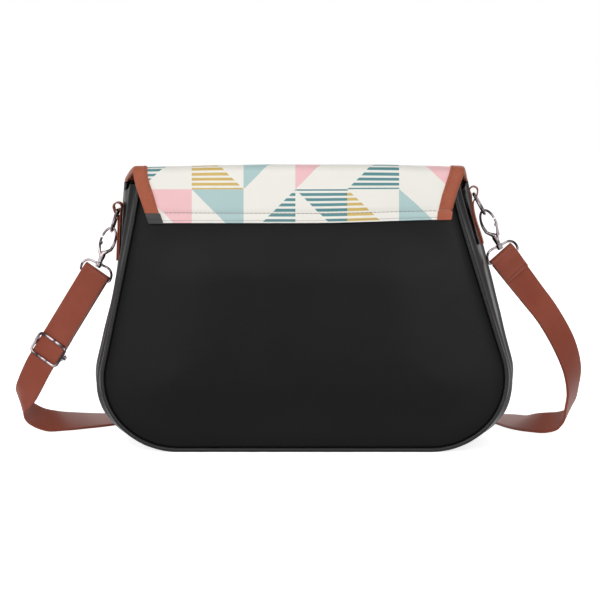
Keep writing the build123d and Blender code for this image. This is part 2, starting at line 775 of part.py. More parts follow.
def strap_fold(plane, front_leg, back_leg, pinch):
    with BuildPart() as fold:
        with BuildSketch(plane):
            add(fold_section(front_leg, back_leg, pinch))
        extrude(amount=strap_width / 2, both=True)
    return fold


fold_planes = {}
hook_planes = {}
ring_planes = {}
for label, chain in chains.items():
    ring_plane, hook_plane, bail_plane, fold_plane = chain_frames(chain)
    fold_planes[label], hook_planes[label], ring_planes[label] = fold_plane, hook_plane, ring_plane
    save(f"tab_{label}", tab(chain))
    save(f"ring_{label}", ring(ring_plane))
    save(f"hook_{label}", hook_body(hook_plane))
    save(f"gate_{label}", hook_gate(hook_plane))
    save(f"gate_pin_{label}", gate_pin(hook_plane))
    save(f"gate_spring_{label}", gate_spring(hook_plane))
    save(f"swivel_post_{label}", swivel_post(hook_plane))
    save(f"bail_{label}", bail(bail_plane))

# =================================================================== strap
left_fold, right_fold = fold_planes["left"], fold_planes["right"]
left_down, right_down = -left_fold.y_dir, -right_fold.y_dir
left_across, right_across = left_fold.z_dir, right_fold.z_dir
leg_below = fold_leg - fold_slack                    # ends of the folds below the bars


def lie_point(plane, out, below):
    """A point on the strap, out of a fold's middle plane and below its bar."""
    return plane.origin + plane.x_dir * out - plane.y_dir * below


run_start = lie_point(left_fold, fold_middle, leg_below)
run_end = lie_point(left_fold, fold_middle, run_length)
right_start = lie_point(right_fold, -fold_middle, leg_below)

stations = [(run_start, left_across), (run_end, left_across)]
stations += [(Vector(*point), unit(across)) for point, across in strap_lie]
stations += [(right_start, right_across)]
pinch = 2 * fold_middle - strap_thickness - 2 * layer_gap


def outer_edge(across, reference):
    """The way across the strap that points to the same edge as the reference."""
    return across if across.dot(reference) > 0 else -across


def station_planes():
    """A cross-section plane at each station, square to the way the strap runs."""
    planes = []
    reference = unit(chains["left"]["strap_across"])
    for index, (point, across) in enumerate(stations):
        before = stations[max(index - 1, 0)][0]
        after = stations[min(index + 1, len(stations) - 1)][0]
        along = (after - before).normalized()
        if index <= 1:
            along = left_down
        if index == len(stations) - 1:
            along = -right_down
        way = square_to(outer_edge(across, reference), along)
        planes.append(Plane(origin=point, x_dir=way, z_dir=along))
        reference = way
    return planes


with BuildPart() as strap:
    for plane in station_planes():
        with BuildSketch(plane):
            Rectangle(strap_width, strap_thickness)
    loft(ruled=True)
    add(strap_fold(left_fold, fold_leg, fold_leg, 0.0).part)
    add(strap_fold(right_fold, end_leg + fold_slack, fold_leg, pinch).part)
save("strap", strap)

# the doubled run: the strap comes back from the left bail and ends in a loop
# round the slider's pin
tail_top = slider_distance - tail_length
return_length = tail_top - leg_below
with BuildPart() as strap_return:
    with BuildSketch(left_fold):
        with Locations((-fold_middle, -leg_below)):
            Rectangle(strap_thickness, return_length, align=(Align.CENTER, Align.MAX))
    extrude(amount=strap_width / 2, both=True)
save("strap_return", strap_return)

slider_pin_radius = slider_pin_diameter / 2
loop_inner = slider_pin_radius + fold_play
pin_section = Plane(origin=lie_point(left_fold, -fold_middle, slider_distance),
                    x_dir=left_fold.x_dir, z_dir=left_fold.z_dir)
with BuildPart() as strap_end_loop:
    with BuildSketch(pin_section):
        Circle(loop_inner + strap_thickness)
        Rectangle(2 * strap_thickness, tail_length, align=(Align.CENTER, Align.MIN))
        Circle(loop_inner, mode=Mode.SUBTRACT)
    extrude(amount=strap_width / 2, both=True)
save("strap_end_loop", strap_end_loop)

# ================================================================== slider
slider_width = strap_width + 2 * slider_side_gap + slider_wire
frame_rise = 2 * fold_middle + strap_thickness / 2 + slider_face_gap + slider_wire / 2
pin_plane = Plane(origin=pin_section.origin, x_dir=-left_fold.z_dir, z_dir=left_fold.x_dir)
frame_plane = shifted(pin_plane, frame_rise)
with BuildLine() as frame_outline:
    half_width, half_height = slider_width / 2, slider_height / 2
    FilletPolyline((-half_width, half_height), (half_width, half_height),
                   (half_width, -half_height), (-half_width, -half_height),
                   radius=slider_corner, close=True)
frame_path = frame_plane.location * frame_outline.wires()[0]

with BuildPart() as slider_frame:
    with BuildSketch(Plane(origin=frame_path @ 0, z_dir=frame_path % 0)):
        Circle(slider_wire / 2)
    sweep(path=frame_path)
    with BuildSketch(pin_plane):
        with Locations((half_width, 0), (-half_width, 0)):
            Rectangle(slider_wire, slider_ear_height)
    extrude(amount=frame_rise)
    for side in (1, -1):
        ear_inner = half_width - slider_wire / 2
        ear_plane = Plane(origin=pin_section.origin, x_dir=pin_section.x_dir,
                          z_dir=pin_section.z_dir * side)
        with BuildSketch(ear_plane.offset(ear_inner)):
            Circle(slider_ear_height / 2)
        extrude(amount=slider_wire)
        with BuildSketch(ear_plane.offset(ear_inner)):
            Circle(slider_pin_radius + gate_bore_clearance)
        extrude(amount=slider_wire, mode=Mode.SUBTRACT)
save("slider_frame", slider_frame)

with BuildPart() as slider_pin:
    with BuildSketch(pin_section):
        Circle(slider_pin_radius)
    extrude(amount=half_width + slider_wire / 2, both=True)
    for side in (1, -1):
        knob_plane = Plane(origin=pin_section.origin, x_dir=pin_section.x_dir,
                           z_dir=pin_section.z_dir * side)
        with BuildSketch(knob_plane.offset(half_width + slider_wire / 2)):
            Circle(slider_knob_diameter / 2)
        extrude(amount=slider_knob_length)
save("slider_pin", slider_pin)
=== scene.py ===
from math import cos, exp, hypot, pi, radians, sin, sqrt, tan

import bpy
from mathutils import Matrix, Vector, noise
from mathutils.kdtree import KDTree


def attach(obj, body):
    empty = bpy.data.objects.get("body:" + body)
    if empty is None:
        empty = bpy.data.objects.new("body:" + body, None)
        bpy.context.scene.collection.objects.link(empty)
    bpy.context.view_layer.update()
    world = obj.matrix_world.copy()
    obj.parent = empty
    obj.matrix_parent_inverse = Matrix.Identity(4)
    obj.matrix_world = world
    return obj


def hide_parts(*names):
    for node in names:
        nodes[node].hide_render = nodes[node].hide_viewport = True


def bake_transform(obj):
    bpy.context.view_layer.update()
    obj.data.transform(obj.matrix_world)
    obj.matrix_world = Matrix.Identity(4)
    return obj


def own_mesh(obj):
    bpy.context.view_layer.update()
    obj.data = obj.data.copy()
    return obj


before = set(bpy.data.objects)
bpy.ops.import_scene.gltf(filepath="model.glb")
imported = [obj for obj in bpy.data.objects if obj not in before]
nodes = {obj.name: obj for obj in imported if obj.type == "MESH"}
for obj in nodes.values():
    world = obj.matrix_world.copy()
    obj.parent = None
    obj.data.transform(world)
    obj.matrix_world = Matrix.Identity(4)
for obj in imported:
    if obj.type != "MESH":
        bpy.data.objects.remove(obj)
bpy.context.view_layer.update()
mm = 0.001


# ---- small helpers: selecting, grids, walls, ribbons

def deselectAll():
    for thing in list(bpy.context.selected_objects):
        thing.select_set(False)


def pick(*pieces):
    deselectAll()
    for piece in pieces:
        piece.select_set(True)
    bpy.context.view_layer.objects.active = pieces[0]


def gridPiece(name, across, along, place, pattern=None):
    deselectAll()
    bpy.ops.mesh.primitive_grid_add(x_subdivisions=across, y_subdivisions=along, size=1,
                                    location=(0, 0, 0))
    piece = bpy.context.object
    piece.name = piece.data.name = name
    flat = [(vert.co.x + 0.5, vert.co.y + 0.5) for vert in piece.data.vertices]
    for vert, (u, v) in zip(piece.data.vertices, flat):
        vert.co = place(u, v)
    layer = piece.data.uv_layers.active.data
    for loop in piece.data.loops:
        u, v = flat[loop.vertex_index]
        layer[loop.index].uv = pattern(u, v) if pattern else (u, v)
    piece.data.update()
    return piece


def editAll(piece, change, **settings):
    # one edit-mode operator on every face of a piece
    pick(piece)
    bpy.ops.object.mode_set(mode="EDIT")
    bpy.ops.mesh.select_all(action="SELECT")
    change(**settings)
    bpy.ops.object.mode_set(mode="OBJECT")


def faceTowards(piece, way):
    total = Vector()
    for face in piece.data.polygons:
        total += face.normal * face.area
    if total.dot(Vector(way)) < 0:
        editAll(piece, bpy.ops.mesh.flip_normals)


def modify(piece, kind, **settings):
    pick(piece)
    modifier = piece.modifiers.new(kind.lower(), kind)
    for key, value in settings.items():
        setattr(modifier, key, value)
    bpy.ops.object.modifier_apply(modifier=modifier.name)


def wall(piece, thickness, side=-1.0, edgeSlot=0, even=True):
    modify(piece, "SOLIDIFY", thickness=thickness, offset=side, use_even_offset=even,
           material_offset_rim=edgeSlot)


def roundEdges(piece, width, segments=2, angle=50):
    modify(piece, "BEVEL", width=width, segments=segments, limit_method="ANGLE", angle_limit=radians(angle))


def smooth(piece, angle=40):
    pick(piece)
    bpy.ops.object.shade_smooth_by_angle(angle=radians(angle))


def mix(a, b, share):
    return a + (b - a) * share


def ease(value, low, high):
    share = min(max((value - low) / (high - low), 0.0), 1.0)
    return share * share * (3 - 2 * share)


def wander(point, scale, seed=0.0):
    return noise.noise(Vector(point) * scale + Vector((seed, seed * 1.7, -seed)))


def through(points, steps):
    # a smooth line through points of any kind of vector
    line = []
    last = len(points) - 1
    for index in range(last):
        a, b = points[max(index - 1, 0)], points[index]
        c, d = points[index + 1], points[min(index + 2, last)]
        for step in range(steps):
            t = step / steps
            line.append(0.5 * ((2 * b) + (c - a) * t + (2 * a - 5 * b + 4 * c - d) * t * t
                               + (3 * b - a - 3 * c + d) * t ** 3))
    line.append(points[last].copy())
    return line


def runsOf(points):
    # the distance along a line at each of its points
    runs = [0.0]
    for a, b in zip(points, points[1:]):
        runs.append(runs[-1] + (b - a).length)
    return runs


def wireThrough(name, points, radii, closed=False, sides=6):
    # a round wire whose thickness may change along it
    curve = bpy.data.curves.new(name, "CURVE")
    curve.dimensions = "3D"
    curve.bevel_depth = 1.0
    curve.bevel_resolution = sides
    curve.use_fill_caps = not closed
    spline = curve.splines.new("POLY")
    spline.points.add(len(points) - 1)
    for slot, point, radius in zip(spline.points, points, radii):
        slot.co = (*point, 1)
        slot.radius = radius
    spline.use_cyclic_u = closed
    piece = bpy.data.objects.new(name, curve)
    bpy.context.scene.collection.objects.link(piece)
    pick(piece)
    bpy.ops.object.convert(target="MESH")
    piece = bpy.context.object
    piece.name = piece.data.name = name
    return piece


def ribbon(name, line, ways, width, thickness, across=8, cup=0.0, edgeSlot=1):
    # a flat strap along a line, with the way across it at each point
    last = len(line) - 1
    runs = runsOf(line)

    def place(u, v):
        index = min(round(v * last), last)
        heading = line[min(index + 1, last)] - line[max(index - 1, 0)]
        face = ways[index].cross(heading).normalized()
        bend = cup * (1 - (2 * u - 1) ** 2)
        return line[index] + ways[index] * (u - 0.5) * width + face * bend

    piece = gridPiece(name, across, last, place, lambda u, v: (u * width, runs[min(round(v * last), last)]))
    wall(piece, thickness, 0.0, edgeSlot)
    return piece


def finish(piece, body, material, *replaced, slot=None, edge=None):
    piece.data.materials.clear()
    piece.data.materials.append(material)
    if edge:
        piece.data.materials.append(edge)
    if replaced:
        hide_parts(*replaced)
    if body:
        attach(piece, body)
    return piece


def dress(material, *names):
    for name in names:
        nodes[name].data.materials.clear()
        nodes[name].data.materials.append(material)


# ---- camera

camera = dict(spot=(0.003105, 1.43033, 0.25254), target=(0.003105, 0.038, 0.106197), lens=121.74)
cameraData = bpy.data.cameras.new("camera")
cameraData.lens = camera["lens"]
cameraData.sensor_width = 36
cameraData.clip_end = 50
cameraObject = bpy.data.objects.new("camera", cameraData)
cameraObject.location = camera["spot"]
heading = Vector(camera["target"]) - Vector(camera["spot"])
cameraObject.rotation_euler = heading.to_track_quat("-Z", "Y").to_euler()
bpy.context.scene.collection.objects.link(cameraObject)
bpy.context.scene.camera = cameraObject


# ---- materials

def paint(code):
    # a hex colour as the shader wants it
    parts = [int(code[i:i + 2], 16) / 255 for i in (1, 3, 5)]
    return tuple(p / 12.92 if p <= 0.04045 else ((p + 0.055) / 1.055) ** 2.4 for p in parts) + (1.0,)


class Wire:  # a node's output that can stand in a sum
    def __init__(self, maker, socket):
        self.maker, self.socket = maker, socket

    def sum(self, operation, *terms):
        return self.maker.node("ShaderNodeMath", {"operation": operation}, dict(enumerate(terms)))

    def __add__(self, other):
        return self.sum("ADD", self, other)

    def __mul__(self, other):
        return self.sum("MULTIPLY", self, other)

    def __sub__(self, other):
        return self.sum("SUBTRACT", self, other)

    def __rsub__(self, other):
        return self.sum("SUBTRACT", other, self)

    def __truediv__(self, other):
        return self.sum("DIVIDE", self, other)

    def __gt__(self, other):
        return self.sum("GREATER_THAN", self, other)

    def __mod__(self, other):
        return self.sum("FLOORED_MODULO", self, other)

    def __abs__(self):
        return self.sum("ABSOLUTE", self)

    __radd__ = __add__
    __rmul__ = __mul__


class Finish:
    def __init__(self, name, **shader):
        self.material = bpy.data.materials.new(name)
        self.material.use_nodes = True
        self.tree = self.material.node_tree
        self.shader = next(n for n in self.tree.nodes if n.type == "BSDF_PRINCIPLED")
        self.where = self.node("ShaderNodeTexCoord", out="Object")
        self.flat = self.node("ShaderNodeTexCoord", out="UV")
        for key, value in shader.items():
            self.feed(self.shader.inputs[key.replace("_", " ")], value)

    def feed(self, socket, value):
        if isinstance(value, Wire):
            self.tree.links.new(value.socket, socket)
        else:
            socket.default_value = value

    def node(self, kind, settings=None, sockets=None, out=0):
        made = self.tree.nodes.new(kind)
        for key, value in (settings or {}).items():
            if key == "stops":
                ramp = made.color_ramp
                while len(ramp.elements) < len(value):
                    ramp.elements.new(0.5)
                for element, (place, colour) in zip(ramp.elements, value):
                    element.position, element.color = place, colour
            elif key == "steps":
                made.color_ramp.interpolation = value
            else:
                setattr(made, key, value)
        for key, value in (sockets or {}).items():
            self.feed(made.inputs[key], value)
        return Wire(self, made.outputs[out])

    def mixed(self, share, a, b):
        return self.node("ShaderNodeMix", {"data_type": "RGBA"}, {0: share, 6: a, 7: b}, out=2)

    def noise(self, scale, detail, rough, at=None):
        sockets = {"Vector": at or self.where, "Scale": scale, "Detail": detail, "Roughness": rough}
        return self.node("ShaderNodeTexNoise", None, sockets)

    def cells(self, scale, at):
        return self.node("ShaderNodeTexVoronoi", {"feature": "SMOOTH_F1"}, {"Vector": at, "Scale": scale})

    def range(self, value, low, high, toLow=0.0, toHigh=1.0):
        return self.node("ShaderNodeMapRange", {"interpolation_type": "SMOOTHSTEP"},
                         {0: value, 1: low, 2: high, 3: toLow, 4: toHigh})

    def parts(self, vector):
        return [self.node("ShaderNodeSeparateXYZ", None, {0: vector}, out=axis) for axis in range(3)]

    def bump(self, height, distance):
        return self.node("ShaderNodeBump", None, {"Height": height, "Distance": distance, "Strength": 1.0})

    def use(self, **sockets):
        for key, value in sockets.items():
            self.feed(self.shader.inputs[key.replace("_", " ")], value)


def leather(name, base, light, dark, grain=1100, depth=0.00012, rough=0.42, flat=False, **shader):
    # pebbled or smooth coated leather: cells for the grain, clouds for the tone
    made = Finish(name, **shader)
    at = made.flat if flat else made.where
    clouds = made.noise(22, 3.0, 0.55, at)
    fine = made.noise(grain * 1.4, 3.0, 0.6, at)
    pebbles = made.cells(grain, at)
    tone = made.mixed(made.range(clouds, 0.3, 0.72), paint(dark), paint(light))
    colour = made.mixed(made.range(pebbles, 0.15, 0.75) * 0.35, paint(base), tone)
    colour = made.mixed(made.range(clouds, 0.4, 0.6) * 0.5, colour, tone)
    made.use(Base_Color=colour,
             Roughness=made.range(fine + clouds * 0.5, 0.45, 1.05, rough - 0.06, rough + 0.09),
             Normal=made.bump(pebbles * 0.8 + fine * 0.4, depth))
    return made.material


shellLeather = leather("shellLeather", "#0b0b0c", "#0f0f10", "#09090a", grain=1500, depth=0.00004,
                       rough=0.37, Specular_IOR_Level=0.10)
gussetLeather = leather("gussetLeather", "#0d0d0e", "#121213", "#0a0a0b", grain=1300, depth=0.00006,
                        rough=0.33, Specular_IOR_Level=0.14)
pipingLeather = leather("pipingLeather", "#101011", "#141415", "#0c0c0d", grain=1500, depth=0.00004,
                        rough=0.28, Specular_IOR_Level=0.25)
# black leather with a lighter grey base than the shell: the extra lightness is painted sheen
patchLeather = leather("patchLeather", "#29282a", "#313032", "#222123", grain=1400, depth=0.00005,
                       rough=0.36, Specular_IOR_Level=0.3)
bindingLeather = leather("bindingLeather", "#A2563D", "#B8694F", "#7f3d2b", grain=780, depth=0.00030,
                         rough=0.5, flat=True, Specular_IOR_Level=0.22)
strapLeather = leather("strapLeather", "#884230", "#97503E", "#783525", grain=1600, depth=0.00003,
                       rough=0.40, flat=True, Specular_IOR_Level=0.2)
strapEdge = leather("strapEdge", "#A5482E", "#B25538", "#8F3B25", grain=1800, depth=0.00003,
                    rough=0.45, flat=True, Specular_IOR_Level=0.2)
tabLeather = leather("tabLeather", "#8A4431", "#9C5340", "#743323", grain=1500, depth=0.00004,
                     rough=0.4, flat=True, Specular_IOR_Level=0.2)


def weave(name, light, dark, pitch=0.0007, rough=0.9):
    # plain weave from two crossed rows of threads
    made = Finish(name, Specular_IOR_Level=0.2, Sheen_Weight=0.15, Sheen_Roughness=0.5)
    x, y = made.parts(made.flat)[:2]
    warp = made.node("ShaderNodeMath", {"operation": "SINE"}, {0: x * (2 * pi / pitch)})
    weft = made.node("ShaderNodeMath", {"operation": "SINE"}, {0: y * (2 * pi / pitch)})
    over = warp * weft
    clouds = made.noise(30, 3.0, 0.6, made.flat)
    colour = made.mixed(made.range(over, -0.6, 0.6), paint(dark), paint(light))
    made.use(Base_Color=made.mixed(clouds * 0.4, colour, paint(dark)), Roughness=rough - clouds * 0.08,
             Normal=made.bump(over, 0.00012))
    return made.material


liningWeave = weave("liningWeave", "#4a4640", "#35322e")
flapLiningWeave = weave("flapLiningWeave", "#46423d", "#312e2a")


def metal(name, tint, rough, brushed=0.0):
    made = Finish(name, Metallic=1.0)
    clouds = made.noise(90, 3.0, 0.6)
    streaks = made.noise(900, 2.0, 0.7)
    # painted reflection: the base colour swings by clouds between a dark brown-grey and the tint, standing in for
    # dark and bright reflections
    made.use(Base_Color=made.mixed(made.range(clouds, 0.40, 0.58), paint("#352d2f"), paint(tint)),
             Roughness=made.range(clouds * 0.6 + streaks * 0.4, 0.3, 0.75, rough, rough + 0.12 + brushed),
             Normal=made.bump(streaks, 0.00001 + 0.00004 * brushed))
    return made.material


nickel = metal("nickel", "#B0A5A8", 0.12)
springSteel = metal("springSteel", "#8F8C8F", 0.25, 0.1)
magnetGrey = metal("magnetGrey", "#6E6E72", 0.35, 0.2)


def board():
    made = Finish("boardFibre")
    fibres = made.noise(600, 4.0, 0.7)
    made.use(Base_Color=made.mixed(fibres, paint("#8a7f6d"), paint("#a79a85")), Roughness=0.8 + fibres * 0.15,
             Normal=made.bump(fibres, 0.0001))
    return made.material


def threadFinish(name, light, dark):
    made = Finish(name, Specular_IOR_Level=0.3)
    strands = made.noise(2500, 2.0, 0.6)
    made.use(Base_Color=made.mixed(strands, paint(dark), paint(light)), Roughness=0.6 + strands * 0.2,
             Normal=made.bump(strands, 0.00005))
    return made.material


brownThread = threadFinish("brownThread", "#7d5040", "#4c2b20")
bindingThread = threadFinish("bindingThread", "#9A543D", "#84432f")
greyThread = threadFinish("greyThread", "#9a9088", "#70675f")

patchwork = dict(
    tile=0.03574, rowLine=0.0232, firstColumn=0.11350, stripes=10, stripeShare=0.56,
    cream="#EDEBE4", pink="#EDBCC0", paleTeal="#A8C4C5", darkTeal="#3F8187", mustard="#CEAE5A",
    # one tile each: colour, striped or not, corner that the triangle fills
    rows=(
        (("pink", 0, "UR"), ("paleTeal", 0, "UR"), ("darkTeal", 1, "LR"),
         ("darkTeal", 1, "UR"), ("mustard", 1, "LL"), ("paleTeal", 0, "LL")),
        (("darkTeal", 1, "UL"), ("mustard", 1, "LL"), ("paleTeal", 0, "UL"),
         ("pink", 0, "UL"), ("darkTeal", 1, "LR"), ("pink", 0, "UR")),
    ),
)


def printCanvas():
    # coated canvas printed with a patchwork of half-square triangles and stripes
    made = Finish("printCanvas", Specular_IOR_Level=0.35)
    x, s = made.parts(made.flat)[:2]
    tile = patchwork["tile"]
    column = (patchwork["firstColumn"] - x) / tile
    row = (s - patchwork["rowLine"]) / tile + 1
    a, b = column % 1.0, row % 1.0
    pair = made.node("ShaderNodeMath", {"operation": "FLOOR"}, {0: row / 2})
    place = ((column + pair * 3) % 6.0)
    index = (made.node("ShaderNodeMath", {"operation": "FLOOR"}, {0: place}) + 0.5) / 6
    upperRow = ((row % 2.0) > 1.0)

    def look(choose):
        # one property of the tile, as a ramp with a step for each column
        ramps = []
        for cells in patchwork["rows"]:
            stops = [(k / 6, choose(cell)) for k, cell in enumerate(cells)]
            ramps.append(made.node("ShaderNodeValToRGB", {"steps": "CONSTANT", "stops": stops}, {0: index}))
        return made.mixed(upperRow, *ramps)

    def kindOf(cell):
        return float(cell[2] in ("UL", "LR")), float(cell[2][0] == "U"), float(cell[1]), 1

    colour = look(lambda cell: paint(patchwork[cell[0]]))
    slash, upper, striped = made.parts(look(kindOf))
    diagonal = slash * a + (1 - slash) * (1 - a)
    above = b - diagonal
    signed = above * (upper * 2 - 1)
    triangle = made.range(signed, -0.004, 0.004)
    band = abs((b * patchwork["stripes"] + 0.5) % 1.0 - 0.5)
    edge = patchwork["stripeShare"] / 2
    stripe = 1 - made.range(band, edge - 0.03, edge + 0.03)
    ink = triangle * (1 - striped * (1 - stripe))
    clouds = made.noise(14, 3.0, 0.6, made.flat)
    grain = made.noise(2600, 2.0, 0.6, made.flat)
    threads = made.cells(1900, made.flat)
    ground = made.mixed(clouds * 0.35, paint(patchwork["cream"]), paint("#DEDBD2"))
    printed = made.mixed(ink, ground, colour)
    # painted shade: a thin darker line 1.6 mm above the hem, where the crease lies in shadow
    creaseShade = 1 - made.range(abs(s - 0.0016), 0.0001, 0.0005)
    pressed = made.mixed(grain * 0.10, printed, paint("#cfcac0"))
    made.use(Base_Color=made.mixed(creaseShade * 0.45, pressed, paint("#6f6a66")),
             Roughness=made.range(grain + clouds * 0.5, 0.4, 1.1, 0.42, 0.58),
             Normal=made.bump(threads * 0.6 + grain * 0.5, 0.00005))
    return made.material


printedCanvas = printCanvas()
print("materials ready")


# ---- body of the bag: the seam outlines, as the frame has them

body = dict(
    depth=76 * mm, height=186 * mm, lean=4.1, lowTurn=44, flankTop=96 * mm,
    back=dict(flat=88 * mm, low=56.2 * mm, hip=49 * mm, lean={1: 11.8, -1: 17.4}, top={1: 11.0, -1: 16.6}),
    mid=dict(flat=97 * mm, low=55 * mm, hip=38.2 * mm, lean={1: 12.2, -1: 13.6}, top={1: -0.6, -1: 12.4}),
    front=dict(flat=96 * mm, low=57 * mm, hip=46 * mm, lean={1: 14.5, -1: 14.5}, top={1: 3.0, -1: 12.5}),
    counts=(14, 14, 20, 8, 26),
)
leanCos, leanSin = cos(radians(body["lean"])), sin(radians(body["lean"]))
seamSide = {"back": 1, "mid": 0, "front": -1}


def seamPoint(name, x, up, out=0.0):
    # a point up a leaning seam plane and a little out of it
    side = seamSide[name]
    if side == 0:
        return Vector((x, 0, up))
    y = body["depth"] / 2 - up * leanSin + out * leanCos
    return Vector((x, side * y, up * leanCos + out * leanSin))


def rimHalf(name, side, inset=0.0):
    # half of a seam's outline from the middle of the base to the mouth
    rim = body[name]
    top = body["height"] * leanCos if name == "mid" else body["height"]
    turn, lean, left = radians(body["lowTurn"]), radians(rim["lean"][side]), radians(rim["top"][side])
    bare, low, hip, flank, crown = body["counts"]
    points = [Vector((rim["flat"] * i / bare, inset)) for i in range(bare + 1)]

    def arc(heading, radius, angle, steps):
        start = points[-1]
        centre = start + radius * Vector((-sin(heading), cos(heading)))
        for i in range(1, steps + 1):
            a = heading + angle * i / steps
            points.append(centre + radius * Vector((sin(a), -cos(a))))

    arc(0, rim["low"] - inset, turn, low)
    arc(turn, rim["hip"] - inset, pi / 2 + lean - turn, hip)
    start = points[-1]
    end = start + Vector((-tan(lean), 1)) * (body["flankTop"] - start.y)
    points += [start.lerp(end, i / flank) for i in range(1, flank + 1)]
    radius = (top - body["flankTop"]) / (sin(lean) - sin(left))
    arc(pi / 2 + lean, -radius, left - lean, crown)
    return [Vector((side * p.x, p.y)) for p in points]


def rimWhole(name, inset=0.0):
    return rimHalf(name, -1, inset)[:0:-1] + rimHalf(name, 1, inset)


def outwardAt(outline, index):
    before, after = outline[max(index - 1, 0)], outline[min(index + 1, len(outline) - 1)]
    along = (after - before).normalized()
    return Vector((along.y, -along.x))


# free, mouth and pullRise are heights in metres between which an effect sets in
gusset = dict(wall=1.4 * mm, roll=2.0 * mm, rollAt=0.12, rollWidth=0.045, dent=0.8 * mm, dentAt=0.3,
              dentWidth=0.1, across=40, free=(0.006, 0.030), mouth=(0.150, 0.186), pullRise=(0.112, 0.165),
              droop={1: 6 * mm, -1: 5 * mm}, pull={1: 0.0, -1: 2.6 * mm})


def gussetShell(name, inset, roll, dent, across, trim=0.0):
    rings = {key: rimWhole(key, inset) for key in ("back", "mid", "front")}
    last = len(rings["mid"]) - 1
    runs = runsOf(rings["mid"])

    def place(u, v):
        index = round(v * last)
        w = mix(trim, 1 - trim, u)
        b, m, f = (seamPoint(key, *rings[key][index]) for key in ("back", "mid", "front"))
        point = b * (1 - w) * (1 - 2 * w) + m * 4 * w * (1 - w) + f * w * (2 * w - 1)
        out = outwardAt(rings["mid"], index)
        normal = Vector((out.x, 0, out.y))
        free = ease(point.z, *gusset["free"])
        mouth = ease(point.z, *gusset["mouth"])
        end = 1 if point.x > 0 else -1
        point.z -= gusset["droop"][end] * mouth * (4 * w * (1 - w)) ** 2.5
        point.x -= end * gusset["pull"][end] * ease(point.z, *gusset["pullRise"]) * ease(w, 0.0, 0.4)
        roller = exp(-((w - gusset["rollAt"]) / gusset["rollWidth"]) ** 2) \
            + exp(-((1 - w - gusset["rollAt"]) / gusset["rollWidth"]) ** 2)
        hollow = dent * exp(-((w - gusset["dentAt"]) / gusset["dentWidth"]) ** 2)
        ripple = wander(point, 28, 3.1) * 0.7 + wander(point, 75, 8.4) * 0.25
        return point + normal * free * (roll * roller - hollow + dent * ripple)

    return gridPiece(name, across, last, place, lambda u, v: (u * body["depth"], runs[round(v * last)]))


gussetPiece = gussetShell("gussetShell", 0.0, gusset["roll"], gusset["dent"], gusset["across"])
editAll(gussetPiece, bpy.ops.mesh.normals_make_consistent, inside=False)
wall(gussetPiece, gusset["wall"], -1.0)
smooth(gussetPiece, 60)
finish(gussetPiece, "bag", gussetLeather, "gusset", slot="gusset_grey")

panel = dict(tuck=1.4 * mm, rise=2.75 * mm, riseRun=4.6 * mm, wall=2.3 * mm,
             pillow={"back": 5.0 * mm, "front": 1.6 * mm}, pillowRun=42 * mm, across=90, base=0.2 * mm,
             fade={"back": (0.118, 0.158), "front": (0.12, 0.16)}, snapReach=0.03)
snapSpot = Vector((0.0, 0.0805))


def panelLift(name, point, gap):
    # steep beside the piping, then a soft swelling that fades out towards the flap and the snap
    lift = panel["rise"] * (1 - exp(-max(gap - panel["tuck"], 0) / panel["riseRun"])) + panel["base"]
    soft = 1 - exp(-(gap / panel["pillowRun"]) ** 2)
    fade = 1 - ease(point.y, *panel["fade"][name])
    if name == "front":
        fade = (1 - exp(-((point - snapSpot).length / panel["snapReach"]) ** 2)) * fade
    soft *= fade
    soft *= 0.55 + 0.45 * ease(point.y, 0.0, 0.05)
    place = Vector((point.x, point.y, seamSide[name]))
    ripple = wander(place, 9, 1.3) * 1.1 + wander(place, 26, 5.2) * 0.25
    return lift + panel["pillow"][name] * soft + soft * ripple * mm


def panelPiece(name):
    left, right = rimHalf(name, -1, panel["tuck"]), rimHalf(name, 1, panel["tuck"])
    base = body["counts"][0]
    left, right = left[base:], right[base:]
    last = len(left) - 1
    edge = rimWhole(name)
    tree = KDTree(len(edge) * 6)
    count = 0
    for a, b in zip(edge, edge[1:]):
        for step in range(6):
            p = a.lerp(b, step / 6)
            tree.insert((p.x, p.y, 0), count)
            count += 1
    tree.balance()

    def place(u, v):
        index = round(v * last)
        share = 0.5 - 0.5 * cos(pi * u)  # closer rows near the piping
        share = mix(u, share, 0.6)
        p = left[index].lerp(right[index], share)
        gap = tree.find((p.x, p.y, 0))[2]
        return seamPoint(name, p.x, p.y, panelLift(name, p, gap))

    runs = runsOf(right)
    piece = gridPiece(f"{name}PanelSkin", panel["across"], last, place,
                      lambda u, v: (u * 0.2, runs[round(v * last)]))
    faceTowards(piece, (0, seamSide[name], 0))
    wall(piece, panel["wall"], -1.0)
    smooth(piece, 60)
    finish(piece, "bag", shellLeather, f"{name}_panel", slot="shell_black")


for name in ("back", "front"):
    panelPiece(name)

piping = dict(radius=1.6 * mm)
for name in ("back", "front"):
    outline = rimWhole(name, piping["radius"])
    line = []
    for a, b in zip(outline, outline[1:]):
        line += [a.lerp(b, k / 2) for k in range(2)]
    line.append(outline[-1])
    points = [seamPoint(name, p.x, p.y, piping["radius"]) for p in line]
    radii = [piping["radius"] * (1 + 0.05 * wander(p, 160, 2.0)) for p in points]
    cordPiece = wireThrough(f"{name}PipingCord", points, radii, sides=5)
    smooth(cordPiece, 60)
    finish(cordPiece, "bag", pipingLeather, f"{name}_piping", slot="piping_black")
print("body shell ready")

lining = dict(inset=3.7 * mm, thickness=0.8 * mm, depth=1.3 * mm)


